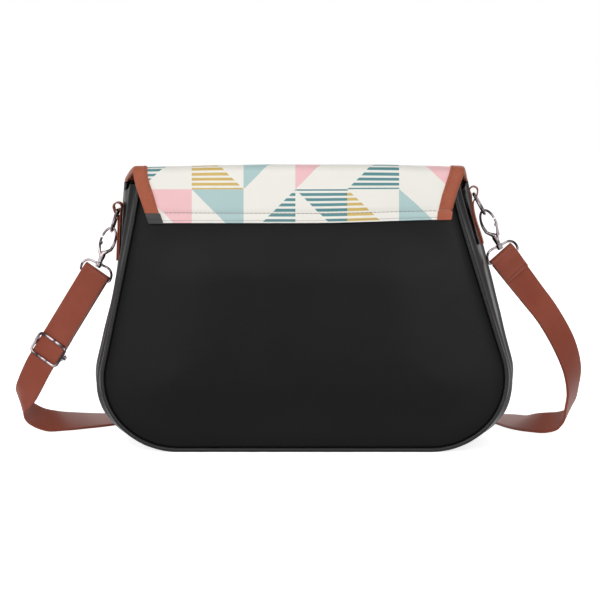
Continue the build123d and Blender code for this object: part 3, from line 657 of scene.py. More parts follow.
def liningPiece(name):
    left, right = (rimHalf(name, side, lining["inset"])[body["counts"][0]:] for side in (-1, 1))
    runs = runsOf(right)
    last = len(left) - 1

    def place(u, v):
        p = left[round(v * last)].lerp(right[round(v * last)], u)
        fold = 0.35 * wander((p.x, p.y, 2.0), 20, 4.0) + 0.35 * wander((p.x * 2.5, p.y * 0.6, 1.0), 30, 6.0)
        return seamPoint(name, p.x, p.y, -lining["depth"] - (0.45 + fold) * mm)

    def pattern(u, v):
        index = round(v * last)
        return mix(left[index].x, right[index].x, u), runs[index]

    piece = gridPiece(f"{name}Lining", 60, last, place, pattern)
    faceTowards(piece, (0, -seamSide[name], 0))
    wall(piece, lining["thickness"] * 0.6, 0.0)
    smooth(piece, 60)
    finish(piece, "bag", liningWeave, f"lining_{name}", slot="lining_cloth")


for name in ("back", "front"):
    liningPiece(name)

liningGusset = gussetShell("gussetLining", lining["inset"], 0.0, 0.3 * mm, 16, trim=0.02)
editAll(liningGusset, bpy.ops.mesh.normals_make_consistent, inside=True)
wall(liningGusset, lining["thickness"] * 0.7, -1.0)
smooth(liningGusset, 60)
finish(liningGusset, "bag", liningWeave, "lining_gusset", slot="lining_cloth")
dress(board(), "base_board")
print("linings ready")

# ---- flap: one soft sheet from the hem on the back, over the mouth, down the front

flap = dict(
    hem=159 * mm, offset=5.4 * mm, backFold=199.3 * mm, frontFold=188.224 * mm, drop=130 * mm, standOff=2.2,
    backRadius=5.6 * mm, frontRadius=6 * mm, corner=62 * mm, layer=1.1 * mm, printLayer=1.15 * mm,
    liningLayer=0.9 * mm, crown=1.0 * mm, droop=2.4 * mm, hemRise=2.5 * mm, seam=6.6 * mm,
    # half widths and middles in mm, at the front fold and at the widest place below it
    foldHalf=122.3, bellyHalf=127.0, foldShift=5.9, bellyShift=4.5,
    belly=68 * mm, liningStart=9.5 * mm, printTrim=0.5 * mm, liningTrim=0.9 * mm, frontShare=0.9,
)
# hollows across the flap's back: depth in mm, distance from the hem, width
hollows = ((0.9, flap["seam"], 2.2 * mm), (0.55, 0.0, 5 * mm), (0.22, 1.7 * mm, 0.6 * mm))


def seamY(z):
    return body["depth"] / 2 - z * leanSin / leanCos


def foldedProfile():
    # the flap's middle in the side view, as (y, z) with rounded folds
    hem = Vector((seamY(flap["hem"]) + flap["offset"] / leanCos, flap["hem"]))
    back = Vector((seamY(flap["backFold"]) + flap["offset"] / leanCos, flap["backFold"]))
    front = Vector((-seamY(flap["frontFold"]) - flap["offset"] / leanCos, flap["frontFold"]))
    low = radians(body["lean"] + flap["standOff"])
    end = front - Vector((sin(low), cos(low))) * flap["drop"]
    points, folds = [hem], []
    for before, corner, after, radius in ((hem, back, front, flap["backRadius"]),
                                          (back, front, end, flap["frontRadius"])):
        a, b = (before - corner).normalized(), (after - corner).normalized()
        half = a.angle(b) / 2
        reach = radius / tan(half)
        middle = corner + (a + b).normalized() * radius / sin(half)
        start, stop = corner + a * reach, corner + b * reach
        steps = 14
        arc = []
        for i in range(steps + 1):
            way = (start - middle).slerp(stop - middle, i / steps)
            arc.append(middle + way.normalized() * radius)
        folds.append(len(points) + steps // 2)
        points += arc
    points.append(end)
    return points, folds


profile, foldPlaces = foldedProfile()
profileRuns = runsOf(profile)
flapLength = profileRuns[-1]
backFoldRun, frontFoldRun = (profileRuns[i] for i in foldPlaces)
middleRun = (backFoldRun + frontFoldRun) / 2
bellyRun = frontFoldRun + flap["belly"]


def profileAt(run):
    # point and outward normal at a distance along the flap
    index = 0
    while index < len(profile) - 2 and profileRuns[index + 1] < run:
        index += 1
    a, b = profile[index], profile[index + 1]
    share = (run - profileRuns[index]) / (profileRuns[index + 1] - profileRuns[index])
    along = (b - a).normalized()
    if 0 < index < len(profile) - 2:
        before = (a - profile[index - 1]).normalized()
        after = (profile[index + 2] - b).normalized()
        start, stop = (before + along).normalized(), (along + after).normalized()
        along = start.lerp(stop, min(max(share, 0), 1)).normalized()
    point = a + (b - a) * share
    return point, Vector((along.y, -along.x))


# half width and middle of the flap up its back, in mm by the distance from the hem
backWidths = [(0, 103.8, 3.1), (7.3, 105.4, 4.0), (17, 108.1, 4.5), (25.6, 110.7, 4.7), (30.5, 112.0, 4.5),
              (37, 113.4, 3.9)]


def between(rows, at, column):
    for low, high in zip(rows, rows[1:]):
        if at <= high[0]:
            return mix(low[column], high[column], max(at - low[0], 0) / (high[0] - low[0]))
    return rows[-1][column]


def flapHalf(run):
    # half of the flap's width
    if run <= backFoldRun:
        return between(backWidths, run / mm, 1) * mm
    if run <= frontFoldRun:
        share = (run - backFoldRun) / (frontFoldRun - backFoldRun)
        return mix(flapHalf(backFoldRun), flap["foldHalf"] * mm, share)
    if run <= bellyRun:
        share = (run - frontFoldRun) / (bellyRun - frontFoldRun)
        return mix(flap["foldHalf"], flap["bellyHalf"], 1 - (1 - share) ** 2) * mm
    fall = min(run - bellyRun, flap["corner"])
    return flap["bellyHalf"] * mm - flap["corner"] + sqrt(max(flap["corner"] ** 2 - fall ** 2, 0))


def flapShift(run):
    if run <= backFoldRun:
        return between(backWidths, run / mm, 2) * mm
    if run <= frontFoldRun:
        share = (run - backFoldRun) / (frontFoldRun - backFoldRun)
        return mix(flapShift(backFoldRun), flap["foldShift"] * mm, share)
    return mix(flap["foldShift"], flap["bellyShift"], ease(run, frontFoldRun, bellyRun)) * mm


def flapPoint(x, run, lift=0.0):
    # a point of the flap by its place on the flat sheet
    point, normal = profileAt(run)
    off = x - flapShift(run)
    edge = abs(off) / flapHalf(min(max(run, 0), bellyRun))
    dip = -sum(deep * exp(-((run - at) / wide) ** 2) for deep, at, wide in hollows)
    dip *= 1 - 0.45 * ease(edge, 0.86, 0.93)
    top = ease(run, backFoldRun - 0.006, backFoldRun + 0.012)
    top *= 1 - ease(run, frontFoldRun - 0.012, frontFoldRun + 0.004)
    across = min(max((run - backFoldRun) / (frontFoldRun - backFoldRun), 0), 1)
    crown = top * sin(pi * across) * flap["crown"]
    hang = ease(run, frontFoldRun + 0.01, frontFoldRun + 0.06)
    flare = hang * (1.6 * edge ** 4 + 1.0 * ease(run, bellyRun, flapLength)) * mm
    ripple = (wander((x, run, 0.3), 14, 2.2) * 0.7 + wander((x, run, 1.3), 38, 7.7) * 0.2) * mm
    ripple *= mix(0.35, 1.0, ease(run, 0.012, 0.03))
    out = lift + dip * mm + crown + flare + ripple
    sag = flap["droop"] * (off / (117 * mm)) ** 2 * ease(run, 0.024, backFoldRun + 0.004)
    sag -= flap["hemRise"] * ease(-x, 0, 0.11) * (1 - ease(run, 0.008, 0.028))
    return Vector((x, point.x + normal.x * out, point.y + normal.y * out - sag))


def flapRuns(start, stop, rows):
    # closer rows at the folds, near the hem and near the rounded bottom
    marks = [start]
    total = rows * 6
    weights = []
    for k in range(total):
        run = mix(start, stop, (k + 0.5) / total)
        near = min(abs(run - backFoldRun), abs(run - frontFoldRun))
        weight = 1 + 2.5 * exp(-(near / 0.008) ** 2)
        if run > bellyRun:
            weight += 7 * ease(run, flapLength - 0.02, flapLength)
        if run < 0.011:
            weight += 2.5
        weights.append(weight)
    whole = sum(weights)
    reached, goal = 0.0, whole / rows
    for k, weight in enumerate(weights):
        reached += weight
        while reached >= goal - 1e-9 and len(marks) < rows:
            marks.append(mix(start, stop, (k + 1) / total))
            goal += whole / rows
    marks.append(stop)
    return marks


def flapSheet(name, start, stop, rows, lift, thickness, margin, columns=80):
    marks = flapRuns(start, stop, rows)

    def spot(u, v):
        run = marks[min(round(v * rows), rows)]
        half = flapHalf(run) - margin
        return flapShift(run) + half * (2 * u - 1), run

    piece = gridPiece(name, columns, rows, lambda u, v: flapPoint(*spot(u, v), lift), spot)
    if start < middleRun:
        faceTowards(piece, (0, 1, 0.6))
    else:
        faceTowards(piece, (0, -1, 0.3))
    wall(piece, thickness, 0.0)
    smooth(piece, 50)
    return piece


backBlend = dict(a="bag", b="flap_over_top", start=(0, 0.034, 0.190), end=(0, 0.016, 0.1985))
frontBlend = dict(a="flap_over_top", b="flap_over_front", start=(0, -0.022, 0.1915), end=(0, -0.033, 0.182))


def blendAcross(piece, fold):
    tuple(fold["start"])
    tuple(fold["end"])
    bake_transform(piece)


rise = flap["layer"] - flap["printLayer"] / 2
for part, start, stop, rows, replaced, fold in (
        ("Back", 0.0, middleRun, 60, ("flap_back", "flap_top"), backBlend),
        ("Front", middleRun, flapLength - 0.6 * mm, 96, ("flap_front",), frontBlend)):
    sheet = flapSheet(f"flapPrint{part}", start, stop, rows, rise, flap["printLayer"], flap["printTrim"])
    finish(sheet, None, printedCanvas, *replaced, slot="print_canvas")
    blendAcross(sheet, fold)
    under = -flap["layer"] + flap["liningLayer"] / 2
    low = flap["liningStart"] if part == "Back" else middleRun
    cloth = flapSheet(f"flapLining{part}", low, stop - 0.5 * mm, rows, under, flap["liningLayer"],
                      flap["liningTrim"], 50)
    faceTowards(cloth, (0, -1, -0.6) if part == "Back" else (0, 1, -0.3))
    liningNodes = ("flap_top_lining",) if part == "Back" else ("flap_front_lining",)
    finish(cloth, None, flapLiningWeave, *liningNodes, slot="flap_lining")
    blendAcross(cloth, fold)
    widest = 2 * max(flapHalf(run / 50 * stop) for run in range(int(50 * start / stop), 51))
    for piece, trim, begin in ((sheet, flap["printTrim"], start), (cloth, flap["liningTrim"], low)):
        widest - 2 * trim
        stop - begin
        flap["frontShare"] * (widest - 2 * trim) * (stop - begin) if part == "Front" else None

binding = dict(layer=0.8 * mm, stitchIn=7.2 * mm, stitchLift=1.98 * mm, pitch=3.4 * mm,
               thread=(2.4 * mm, 0.22 * mm))
# the binding's section in mm: how far in from the flap's edge, and how high over its middle
bindingSection = [(8.8, 1.42), (8.0, 1.5), (6.8, 1.5), (5.2, 1.55), (3.5, 1.6), (1.8, 1.62), (0.6, 1.5),
                  (-0.25, 1.1), (-0.62, 0.45), (-0.62, -0.45), (-0.25, -1.1), (0.6, -1.5), (1.8, -1.6),
                  (3.5, -1.55), (5.2, -1.5), (6.8, -1.5), (8.0, -1.5), (8.8, -1.42)]
sideNames = {1: "Left", -1: "Right"}


def flapCentre(run):
    # a place on the flat flap that lies inside its edges
    return Vector((0.0045, run))


def inwardAt(line, index, inwardTo):
    # the way square to a line on the flat flap, towards its inside
    last = len(line) - 1
    along = (line[min(index + 1, last)] - line[max(index - 1, 0)]).normalized()
    inward = Vector((-along.y, along.x))
    return -inward if inward.dot(inwardTo - line[index]) < 0 else inward


def edgeLine(side, start, stop, steps):
    return [Vector((flapShift(r) + side * flapHalf(r), r))
            for r in (mix(start, stop, k / steps) for k in range(steps + 1))]


def frontEdgeLine():
    # down one side, round the bottom and up the other side
    half, steps = [], 26
    for k in range(steps + 1):
        run = mix(middleRun, bellyRun, k / steps)
        half.append((flapHalf(run), run, flapShift(run)))
    for k in range(1, 25):
        a = pi / 2 * k / 24
        half.append((flap["bellyHalf"] * mm - flap["corner"] * (1 - cos(a)),
                     bellyRun + flap["corner"] * sin(a), flap["bellyShift"] * mm))
    right = [Vector((shift + wide, run)) for wide, run, shift in half]
    left = [Vector((shift - wide, run)) for wide, run, shift in half]
    corner, far = right[-1], left[-1]
    bottom = [corner.lerp(far, k / 24) for k in range(1, 24)]
    return right + bottom + left[::-1]


def bindingPiece(name, line, inwardTo, level=False):
    last = len(line) - 1
    runs = runsOf(line)
    columns = len(bindingSection) - 1

    def place(u, v):
        index = round(v * last)
        inward = inwardAt(line, index, inwardTo)
        if level:
            across = Vector((1 if inward.x > 0 else -1, 0))
            inward = across.lerp(inward, ease(runs[index], 0.001, 0.016)).normalized()
        deep, lift = bindingSection[round(u * columns)]
        spot = line[index] + inward * deep * mm
        pucker = 0.12 * sin(runs[index] / mm * 2 * pi / 3.4) * exp(-((deep - 7.2) / 1.3) ** 2)
        lift += (pucker + 0.12 * wander((runs[index], deep * mm, 0), 160, 3.3)) * (1 if lift > 0 else -1)
        return flapPoint(spot.x, spot.y, lift * mm)

    arcs = [0.0]
    for a, b in zip(bindingSection, bindingSection[1:]):
        arcs.append(arcs[-1] + hypot(b[0] - a[0], b[1] - a[1]) * mm)
    piece = gridPiece(name, columns, last, place,
                      lambda u, v: (arcs[round(u * columns)], runs[round(v * last)]))
    wall(piece, binding["layer"], 0.0, even=False)
    editAll(piece, bpy.ops.mesh.normals_make_consistent, inside=False)
    smooth(piece, 50)
    return piece


for side in (1, -1):
    low = flap["seam"] + 0.15 * mm
    edgePiece = bindingPiece(f"bindingBack{sideNames[side]}", edgeLine(side, low, middleRun, 64),
                             flapCentre((low + middleRun) / 2), level=True)
    names = ("flap_back_binding", "flap_top_binding") if side > 0 else ()
    finish(edgePiece, None, bindingLeather, *names, slot="binding_brown")
    blendAcross(edgePiece, backBlend)
frontBinding = bindingPiece("bindingFront", frontEdgeLine(), flapCentre(bellyRun - 0.02))
finish(frontBinding, None, bindingLeather, "flap_front_binding", slot="binding_brown")
blendAcross(frontBinding, frontBlend)


def hemPatch(name, side, width, low, high, corner, material, slot, *replaced):
    # a small patch over the flap's corner below the stitch line
    def spot(u, v):
        run = mix(low, high, v)
        edge = (abs(v - 0.5) - 0.5 + corner / (high - low)) * (high - low) / corner
        pull = corner * (1 - sqrt(max(1 - max(edge, 0) ** 2, 0)))
        outer = flapHalf(run) + 0.9 * mm - pull
        inner = flapHalf(run) + 0.9 * mm - width + pull * 0.6
        return flapShift(run) + side * mix(outer, inner, u), run

    piece = gridPiece(name, 12, 14, lambda u, v: flapPoint(*spot(u, v), 1.55 * mm), spot)
    faceTowards(piece, (0, 1, 0))
    wall(piece, 0.9 * mm, 0.0)
    roundEdges(piece, 0.25 * mm)
    smooth(piece, 50)
    return finish(piece, "bag", material, *replaced, slot=slot)


hemPatch("hemPatchLeather", 1, 10.4 * mm, -0.6 * mm, flap["seam"] + 0.1 * mm, 0.8 * mm, patchLeather,
         "shell_black", "hem_patch")
hemPatch("hemPatchBinding", -1, 10.2 * mm, -0.3 * mm, flap["seam"] - 0.15 * mm, 1.2 * mm, bindingLeather,
         "binding_brown")
print("flap ready")


# ---- stitches: one short thread, copied along a seam

def stitchShape(length, radius):
    deselectAll()
    bpy.ops.mesh.primitive_cylinder_add(vertices=6, radius=radius, depth=length * 0.7,
                                        rotation=(0, pi / 2, 0))
    piece = bpy.context.object
    bpy.ops.object.transform_apply(location=False, rotation=True, scale=False)
    piece.name = "stitchThread"
    for way in (1, -1):
        pick(piece)
        bpy.ops.object.mode_set(mode="EDIT")
        bpy.ops.mesh.select_mode(type="FACE")
        bpy.ops.mesh.select_all(action="DESELECT")
        bpy.ops.object.mode_set(mode="OBJECT")
        for face in piece.data.polygons:
            face.select = face.normal.x * way > 0.9
        bpy.ops.object.mode_set(mode="EDIT")
        bpy.ops.mesh.extrude_region_move(
            TRANSFORM_OT_translate={"value": (way * length * 0.15, 0, -radius * 0.9)})
        bpy.ops.transform.resize(value=(1, 0.6, 0.6))
        bpy.ops.object.mode_set(mode="OBJECT")
    return piece


def stitchRow(name, spots, material, slot, length, radius):
    # spots: middle, way along and way out for each stitch
    first = stitchShape(length, radius)
    copies = []
    for place, along, out in spots:
        along = along.normalized()
        out = (out - along * out.dot(along)).normalized()
        side = out.cross(along)
        copy = first.copy()
        copy.data = first.data.copy()
        turn = Matrix((along, side, out)).transposed().to_4x4()
        copy.data.transform(Matrix.Translation(place) @ turn)
        bpy.context.scene.collection.objects.link(copy)
        copies.append(copy)
    bpy.data.objects.remove(first)
    pick(*copies)
    bpy.ops.object.join()
    piece = bpy.context.object
    piece.name = piece.data.name = name
    smooth(piece, 60)
    piece.data.materials.clear()
    piece.data.materials.append(material)
    return piece


def flapSpots(line, lift, pitch):
    # evenly spaced stitches along a line on the flat flap
    runs = runsOf(line)
    count = int(runs[-1] / pitch)
    spots = []
    for k in range(count):
        run = (k + 0.5) * runs[-1] / count
        index = max(i for i in range(len(line) - 1) if runs[i] <= run)
        p = line[index].lerp(line[index + 1], (run - runs[index]) / (runs[index + 1] - runs[index]))
        way = (line[index + 1] - line[index]).normalized() * 0.6 * mm
        here, ahead = flapPoint(p.x, p.y, lift), flapPoint(p.x + way.x, p.y + way.y, lift)
        out = flapPoint(p.x, p.y, lift + 1 * mm) - here
        spots.append((here, ahead - here, out))
    return spots


# places are shares of the flap's half width
hemSeam = dict(places=(-0.905, -0.5, 0, 0.5, 0.905), aside=0.3 * mm, slant=0.5, lift=0.08 * mm,
               pitch=2.9 * mm, thread=(2.7 * mm, 0.2 * mm))
hemLine = [Vector((flapShift(0) + flapHalf(0) * t - hemSeam["aside"], flap["seam"] + (hemSeam["slant"] * t) * mm))
           for t in hemSeam["places"]]
hemStitches = stitchRow("hemStitches", flapSpots(hemLine, flap["layer"] + hemSeam["lift"], hemSeam["pitch"]),
                        greyThread, "print_canvas", *hemSeam["thread"])
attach(hemStitches, "bag")


def bindingStitches(name, line, inwardTo, fold):
    deep = binding["stitchIn"]
    inner = [p + inwardAt(line, index, inwardTo) * deep for index, p in enumerate(line)]
    spots = flapSpots(inner, binding["stitchLift"], binding["pitch"])
    row = stitchRow(name, spots, bindingThread, "binding_brown", *binding["thread"])
    blendAcross(row, fold)


low = flap["seam"] + 1.5 * mm
for side in (1, -1):
    bindingStitches(f"bindingStitchesBack{sideNames[side]}", edgeLine(side, low, middleRun, 40),
                    flapCentre((low + middleRun) / 2), backBlend)
bindingStitches("bindingStitchesFront", frontEdgeLine(), flapCentre(bellyRun - 0.02), frontBlend)
print("flap stitches ready")

dress(nickel, "snap_socket", "snap_stud", "snap_socket_washer", "snap_stud_washer")
dress(magnetGrey, "snap_magnet")


# ---- the two chains: tab, ring, clasp and bail, then the strap's fold

chain = dict(
    ringWire=2.0 * mm, ringHeight=16.5 * mm, hookHeight=27.5 * mm, hookWidth=11.5 * mm, limb=1.6 * mm,
    play=0.9 * mm, root=6 * mm, pivot=(2.4 * mm, 6.4 * mm),
    swivelGap=0.15 * mm, bossHeight=2.4 * mm, bailHeight=9.5 * mm,
    left=dict(side=1, bar=(132.049 * mm, -8 * mm, 166.024 * mm), ringOut=17.5, up=(-0.37, 0.15, 0.92),
              down=(0.524, -0.137, -0.841), across=(0.82, -0.20, 0.54), tabLean=2.7, tabTurn=0.0),
    right=dict(side=-1, bar=(-120.073 * mm, -8 * mm, 177.324 * mm), ringOut=28.5, up=(0.42, 0.12, 0.90),
               down=(-0.62, -0.17, -0.77), across=(-0.81, -0.20, 0.56), tabLean=12.6, tabTurn=6.3),
)


def squareTo(vector, normal):
    return (vector - normal * vector.dot(normal)).normalized()


def chainPlanes(label):
    # each plane as origin, x, y and z
    parts = chain[label]
    side, turn, swing = parts["side"], radians(parts["tabTurn"]), radians(parts["ringOut"])
    along = Vector((sin(turn), cos(turn), 0))
    out = Vector((side * cos(turn), -side * sin(turn), 0))
    bar = Vector(parts["bar"])
    ringDown = out * sin(swing) - Vector((0, 0, cos(swing)))
    up = Vector(parts["up"]).normalized()
    reach = chain["hookHeight"] - chain["limb"] - chain["ringWire"] / 2 - chain["play"]
    collar = bar + ringDown * chain["ringHeight"] - up * reach
    deep = squareTo(Vector((0, 1, 0)), up) * -side
    down = Vector(parts["down"]).normalized()
    across = squareTo(Vector(parts["across"]).normalized(), down)
    face = across.cross(down) * side
    strapBar = collar - up * (chain["swivelGap"] + chain["bossHeight"] / 2 + chain["bailHeight"])
    return dict(bar=bar, along=along, out=out, hook=(collar, up.cross(deep), up, deep),
                fold=(strapBar, face, -down, face.cross(-down)))


def onPlane(plane, x, y, z=0.0):
    origin, xWay, yWay, zWay = plane
    return origin + xWay * x + yWay * y + zWay * z


planes = {label: chainPlanes(label) for label in ("left", "right")}

def finishStrip(piece, body, material, node, slot, width, segments=2):
    roundEdges(piece, width, segments)
    smooth(piece, 50)
    finish(piece, body, material, node, slot=slot, edge=strapEdge)


# loop, half and pull in mm: the loop's radius, the wall's depth and the legs' way to the gusset
tab = dict(width=13 * mm, layer=0.95 * mm, loop=2.9, half=2.025, pull={1: 0.0, -1: 1.7},
           turns=(-0.45, 0.1, 0.65, 1.2, 1.75, 2.3, 2.85, 3.4))
for label in ("left", "right"):
    parts, found = chain[label], planes[label]
    lean = radians(parts["tabLean"])
    outward = found["out"] * cos(lean) + Vector((0, 0, sin(lean)))
    upward = Vector((0, 0, cos(lean))) - found["out"] * sin(lean)
    plane = (found["bar"], outward, upward, outward.cross(upward))
    shape = [(-tab["half"], y) for y in (-36, -28, -20, -12, -5)] + [(-2.2, -1.6)]
    shape += [(0.3 - tab["loop"] * cos(a), 2.1 + tab["loop"] * sin(a)) for a in tab["turns"]]
    shape += [(2.0, -1.6), (0.6, -3.8), (-0.6, -6.2)] + [(-0.85, y) for y in (-12, -20, -28, -36)]
    pull = tab["pull"][parts["side"]]
    shape = [(x - pull * ease(-y, 2, 9) * (1 - ease(-y, 16, 36)), y) for x, y in shape]
    line = through([onPlane(plane, x * mm, y * mm) for x, y in shape], 4)
    ways = [found["along"]] * len(line)
    strip = ribbon(f"tabLeather{label.title()}", line, ways, tab["width"], tab["layer"], across=10)
    finishStrip(strip, "bag", tabLeather, f"tab_{label}", "tab_brown", 0.18 * mm)

hook = dict(flatten=0.86, knobRadius=1.3 * mm, knobLength=3.4 * mm, knobEdge=0.45 * mm)


def ovalPoint(angle, shrink=0.0):
    rise = (chain["hookHeight"] - chain["root"]) / 2
    centre = chain["hookHeight"] - rise
    return ((chain["hookWidth"] / 2 - shrink) * cos(angle), centre + (rise - shrink) * sin(angle))


def wireOnPlane(name, plane, route):
    # route: x and y on the plane, and the wire's radius in mm
    line = through([onPlane(plane, x, y) for x, y, r in route], 4)
    radii = [r.x for r in through([Vector((r * mm, 0)) for x, y, r in route], 4)]
    return wireThrough(name, line, radii, sides=5)


for label in ("left", "right"):
    plane = planes[label]["hook"]
    half = chain["limb"] / 2
    # the limb: up from the collar, round the far side and over to the nose
    route = [(0, 0.1 * mm, 1.75), (0, 1.6 * mm, 1.8), (-0.1 * mm, 3.4 * mm, 2.1), (0.1 * mm, 5.2 * mm, 2.5),
             (-0.4 * mm, 7.0 * mm, 2.0), (-1.7 * mm, 8.4 * mm, 1.35)]
    for degrees in range(215, 10, -9):
        x, y = ovalPoint(radians(degrees), half)
        thick = mix(0.86, 1.15, ease(degrees, 140, 215))
        route.append((x, y, thick))
    x, y = ovalPoint(radians(12), half)
    route.append((x, y, 0.82))
    limb = wireOnPlane(f"hookLimb{label.title()}", plane, route)
    # cast flat: pressed a little towards its own plane
    origin, zWay = plane[0], plane[3]
    for vert in limb.data.vertices:
        away = (vert.co - origin).dot(zWay)
        vert.co -= zWay * away * (1 - hook["flatten"])
    smooth(limb, 60)
    finish(limb, f"clasp_{label}", nickel, f"hook_{label}", slot="hardware_nickel")

    pivotX, pivotY = chain["pivot"]
    gateRoute = [(pivotX, pivotY, 1.45), (pivotX + 0.5 * mm, 7.4 * mm, 1.15)]
    for degrees in range(-42, 8, 7):
        x, y = ovalPoint(radians(degrees), half)
        gateRoute.append((x, y, 0.8))
    arm = wireOnPlane(f"gateArm{label.title()}", plane, gateRoute)
    # thumb knob: a short waisted barrel across the arm
    deselectAll()
    bpy.ops.mesh.primitive_cylinder_add(vertices=24, radius=hook["knobRadius"], depth=hook["knobLength"])
    knob = bpy.context.object
    editAll(knob, bpy.ops.mesh.bevel, offset=hook["knobEdge"], segments=3, affect="EDGES")
    x, y = chain["hookWidth"] / 2 - chain["limb"], ovalPoint(0)[1] - chain["limb"] * 2
    origin, xWay, yWay, zWay = plane
    turn = Matrix((xWay, yWay, zWay)).transposed().to_4x4()
    knob.data.transform(Matrix.Translation(onPlane(plane, x, y)) @ turn)
    pick(arm, knob)
    bpy.ops.object.join()
    smooth(arm, 50)
    finish(arm, f"clasp_gate_{label}", nickel, f"gate_{label}", slot="hardware_nickel")
    dress(nickel, f"ring_{label}", f"gate_pin_{label}", f"swivel_post_{label}", f"bail_{label}")
    dress(springSteel, f"gate_spring_{label}")
print("clasps ready")

# ---- strap: one ribbon from the return side of the left fold to the sewn end on the right

strap = dict(width=20 * mm, thickness=1.8 * mm, middle=2.0 * mm, slack=2.4 * mm, below=2.1 * mm,
             knee=3.6 * mm, drawnIn=1.7 * mm, endLeg=16 * mm)
# where the strap lies, in mm, and the way across it towards its outer edge
strapLie = [
    ((201.5, -28.0, 33.0), (0.75, -0.45, 0.48)), ((206.5, -34.5, 23.5), (0.35, -0.72, 0.60)),
    ((201.5, -44.0, 14.5), (0.02, -0.74, 0.67)), ((191.0, -49.5, 8.2), (0.20, -0.68, 0.70)),
    ((179.0, -54.5, 6.6), (0.36, -0.75, 0.55)), ((167.5, -63.0, 5.4), (0.51, -0.74, 0.44)),
    ((155.0, -72.5, 4.3), (0.58, -0.75, 0.33)), ((139.0, -87.0, 3.0), (0.66, -0.73, 0.18)),
    ((121.0, -104.0, 1.2), (0.65, -0.76, 0.0)), ((97.0, -122.0, 1.0), (0.55, -0.84, 0.0)),
    ((68.0, -137.0, 1.0), (0.42, -0.91, 0.0)), ((35.0, -147.0, 1.0), (0.22, -0.98, 0.0)),
    ((0.0, -152.0, 1.0), (0.05, -1.0, 0.0)), ((-35.0, -151.0, 1.0), (-0.10, -0.99, 0.0)),
    ((-70.0, -145.0, 1.0), (-0.28, -0.96, 0.0)), ((-100.0, -134.0, 1.0), (-0.45, -0.89, 0.0)),
    ((-124.0, -119.0, 1.0), (-0.65, -0.76, 0.0)), ((-141.0, -101.0, 1.8), (-0.78, -0.62, 0.08)),
    ((-151.5, -83.0, 3.2), (-0.86, -0.48, 0.20)), ((-158.0, -66.5, 4.2), (-0.84, -0.44, 0.31)),
    ((-163.5, -55.0, 5.6), (-0.72, -0.52, 0.45)), ((-170.5, -47.0, 6.6), (-0.48, -0.69, 0.54)),
    ((-178.5, -42.5, 7.2), (-0.24, -0.78, 0.58)), ((-187.0, -40.0, 9.5), (-0.20, -0.87, 0.45)),
    ((-191.5, -36.0, 14.0), (-0.22, -0.96, 0.15)), ((-193.5, -31.5, 22.5), (-0.36, -0.93, -0.08)),
    ((-195.0, -29.0, 34.0), (-0.46, -0.88, -0.10)), ((-194.0, -26.5, 50.0), (-0.69, -0.72, 0.0)),
    ((-187.0, -23.0, 69.0), (-0.79, -0.55, 0.25)), ((-175.0, -19.5, 89.5), (-0.77, -0.51, 0.38)),
    ((-163.0, -16.5, 105.0), (-0.78, -0.42, 0.46)),
]


def strapControls():
    left, right = planes["left"]["fold"], planes["right"]["fold"]
    m, slack = strap["middle"], strap["slack"]
    half = [pi - pi * k / 6 for k in range(7)]
    controls = [(onPlane(left, -m, -strap["below"]), left[3]), (onPlane(left, -m, 0.0), left[3])]
    controls += [(onPlane(left, m * cos(a), slack + m * sin(a)), left[3]) for a in half]
    controls += [(onPlane(left, m, -y * mm), left[3]) for y in (0.5, 6, 20, 36, 52, 68, 80)]
    controls += [(Vector(point) * mm, Vector(way)) for point, way in strapLie]
    controls += [(onPlane(right, -m, y), right[3]) for y in (-strap["below"] - 6 * mm, -1 * mm)]
    controls += [(onPlane(right, m * cos(a), slack + m * sin(a)), right[3]) for a in half]
    inner = m - strap["drawnIn"]
    endLeg = ((m, -0.5 * mm), (m, -strap["knee"]), (m - strap["drawnIn"] * 0.6, -8 * mm),
              (inner, -12 * mm), (inner, -strap["endLeg"]))
    controls += [(onPlane(right, x, y), right[3]) for x, y in endLeg]
    points, ways = [], []
    before = None
    for point, way in controls:
        way = way.normalized()
        if before is not None and way.dot(before) < 0:
            way = -way
        points.append(point)
        ways.append(way)
        before = way
    return points, ways


controlPoints, controlWays = strapControls()
steps = 6
strapLine = through(controlPoints, steps)
rawWays = through(controlWays, steps)
strapWays = []
for index, way in enumerate(rawWays):
    heading = strapLine[min(index + 1, len(strapLine) - 1)] - strapLine[max(index - 1, 0)]
    strapWays.append(squareTo(way, heading.normalized()))
strapPiece = ribbon("strapRibbon", strapLine, strapWays, strap["width"], strap["thickness"], across=10)
finishStrip(strapPiece, "bag", strapLeather, "strap", "strap_brown", 0.3 * mm, 3)
strapLength = runsOf(strapLine)[-1]
print("strap length in mm:", round(strapLength / mm))

returnLeg = dict(length=47.9 * mm, keep=7.9 / 47.9, steps=16)
leftFold = planes["left"]["fold"]
line = [onPlane(leftFold, -strap["middle"], -strap["below"] - returnLeg["length"] * k / returnLeg["steps"])
        for k in range(returnLeg["steps"] + 1)]
returnPiece = ribbon("strapReturn", line, [leftFold[3]] * len(line), strap["width"], strap["thickness"])
finishStrip(returnPiece, "bag", strapLeather, "strap_return", "strap_brown", 0.3 * mm, 3)
tuple(leftFold[2])
tuple(line[0])
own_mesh(returnPiece)

slider = dict(distance=64 * mm)
pinPlane = (onPlane(leftFold, -strap["middle"], -slider["distance"]), leftFold[1], leftFold[2], leftFold[3])
shape = [(-0.9, 14), (-0.9, 10), (-0.92, 6.5), (-1.5, 3.2), (-2.0, 0.6), (-1.7, -1.1), (-0.7, -1.9)]
shape += [(-x, y) for x, y in reversed(shape)]
line = through([onPlane(pinPlane, x * mm, y * mm) for x, y in shape], 5)
loopPiece = ribbon("strapEndLoop", line, [leftFold[3]] * len(line), strap["width"],
                   strap["thickness"] * 0.95)
finishStrip(loopPiece, "slider", strapLeather, "strap_end_loop", "strap_brown", 0.25 * mm)
dress(nickel, "slider_frame", "slider_pin")

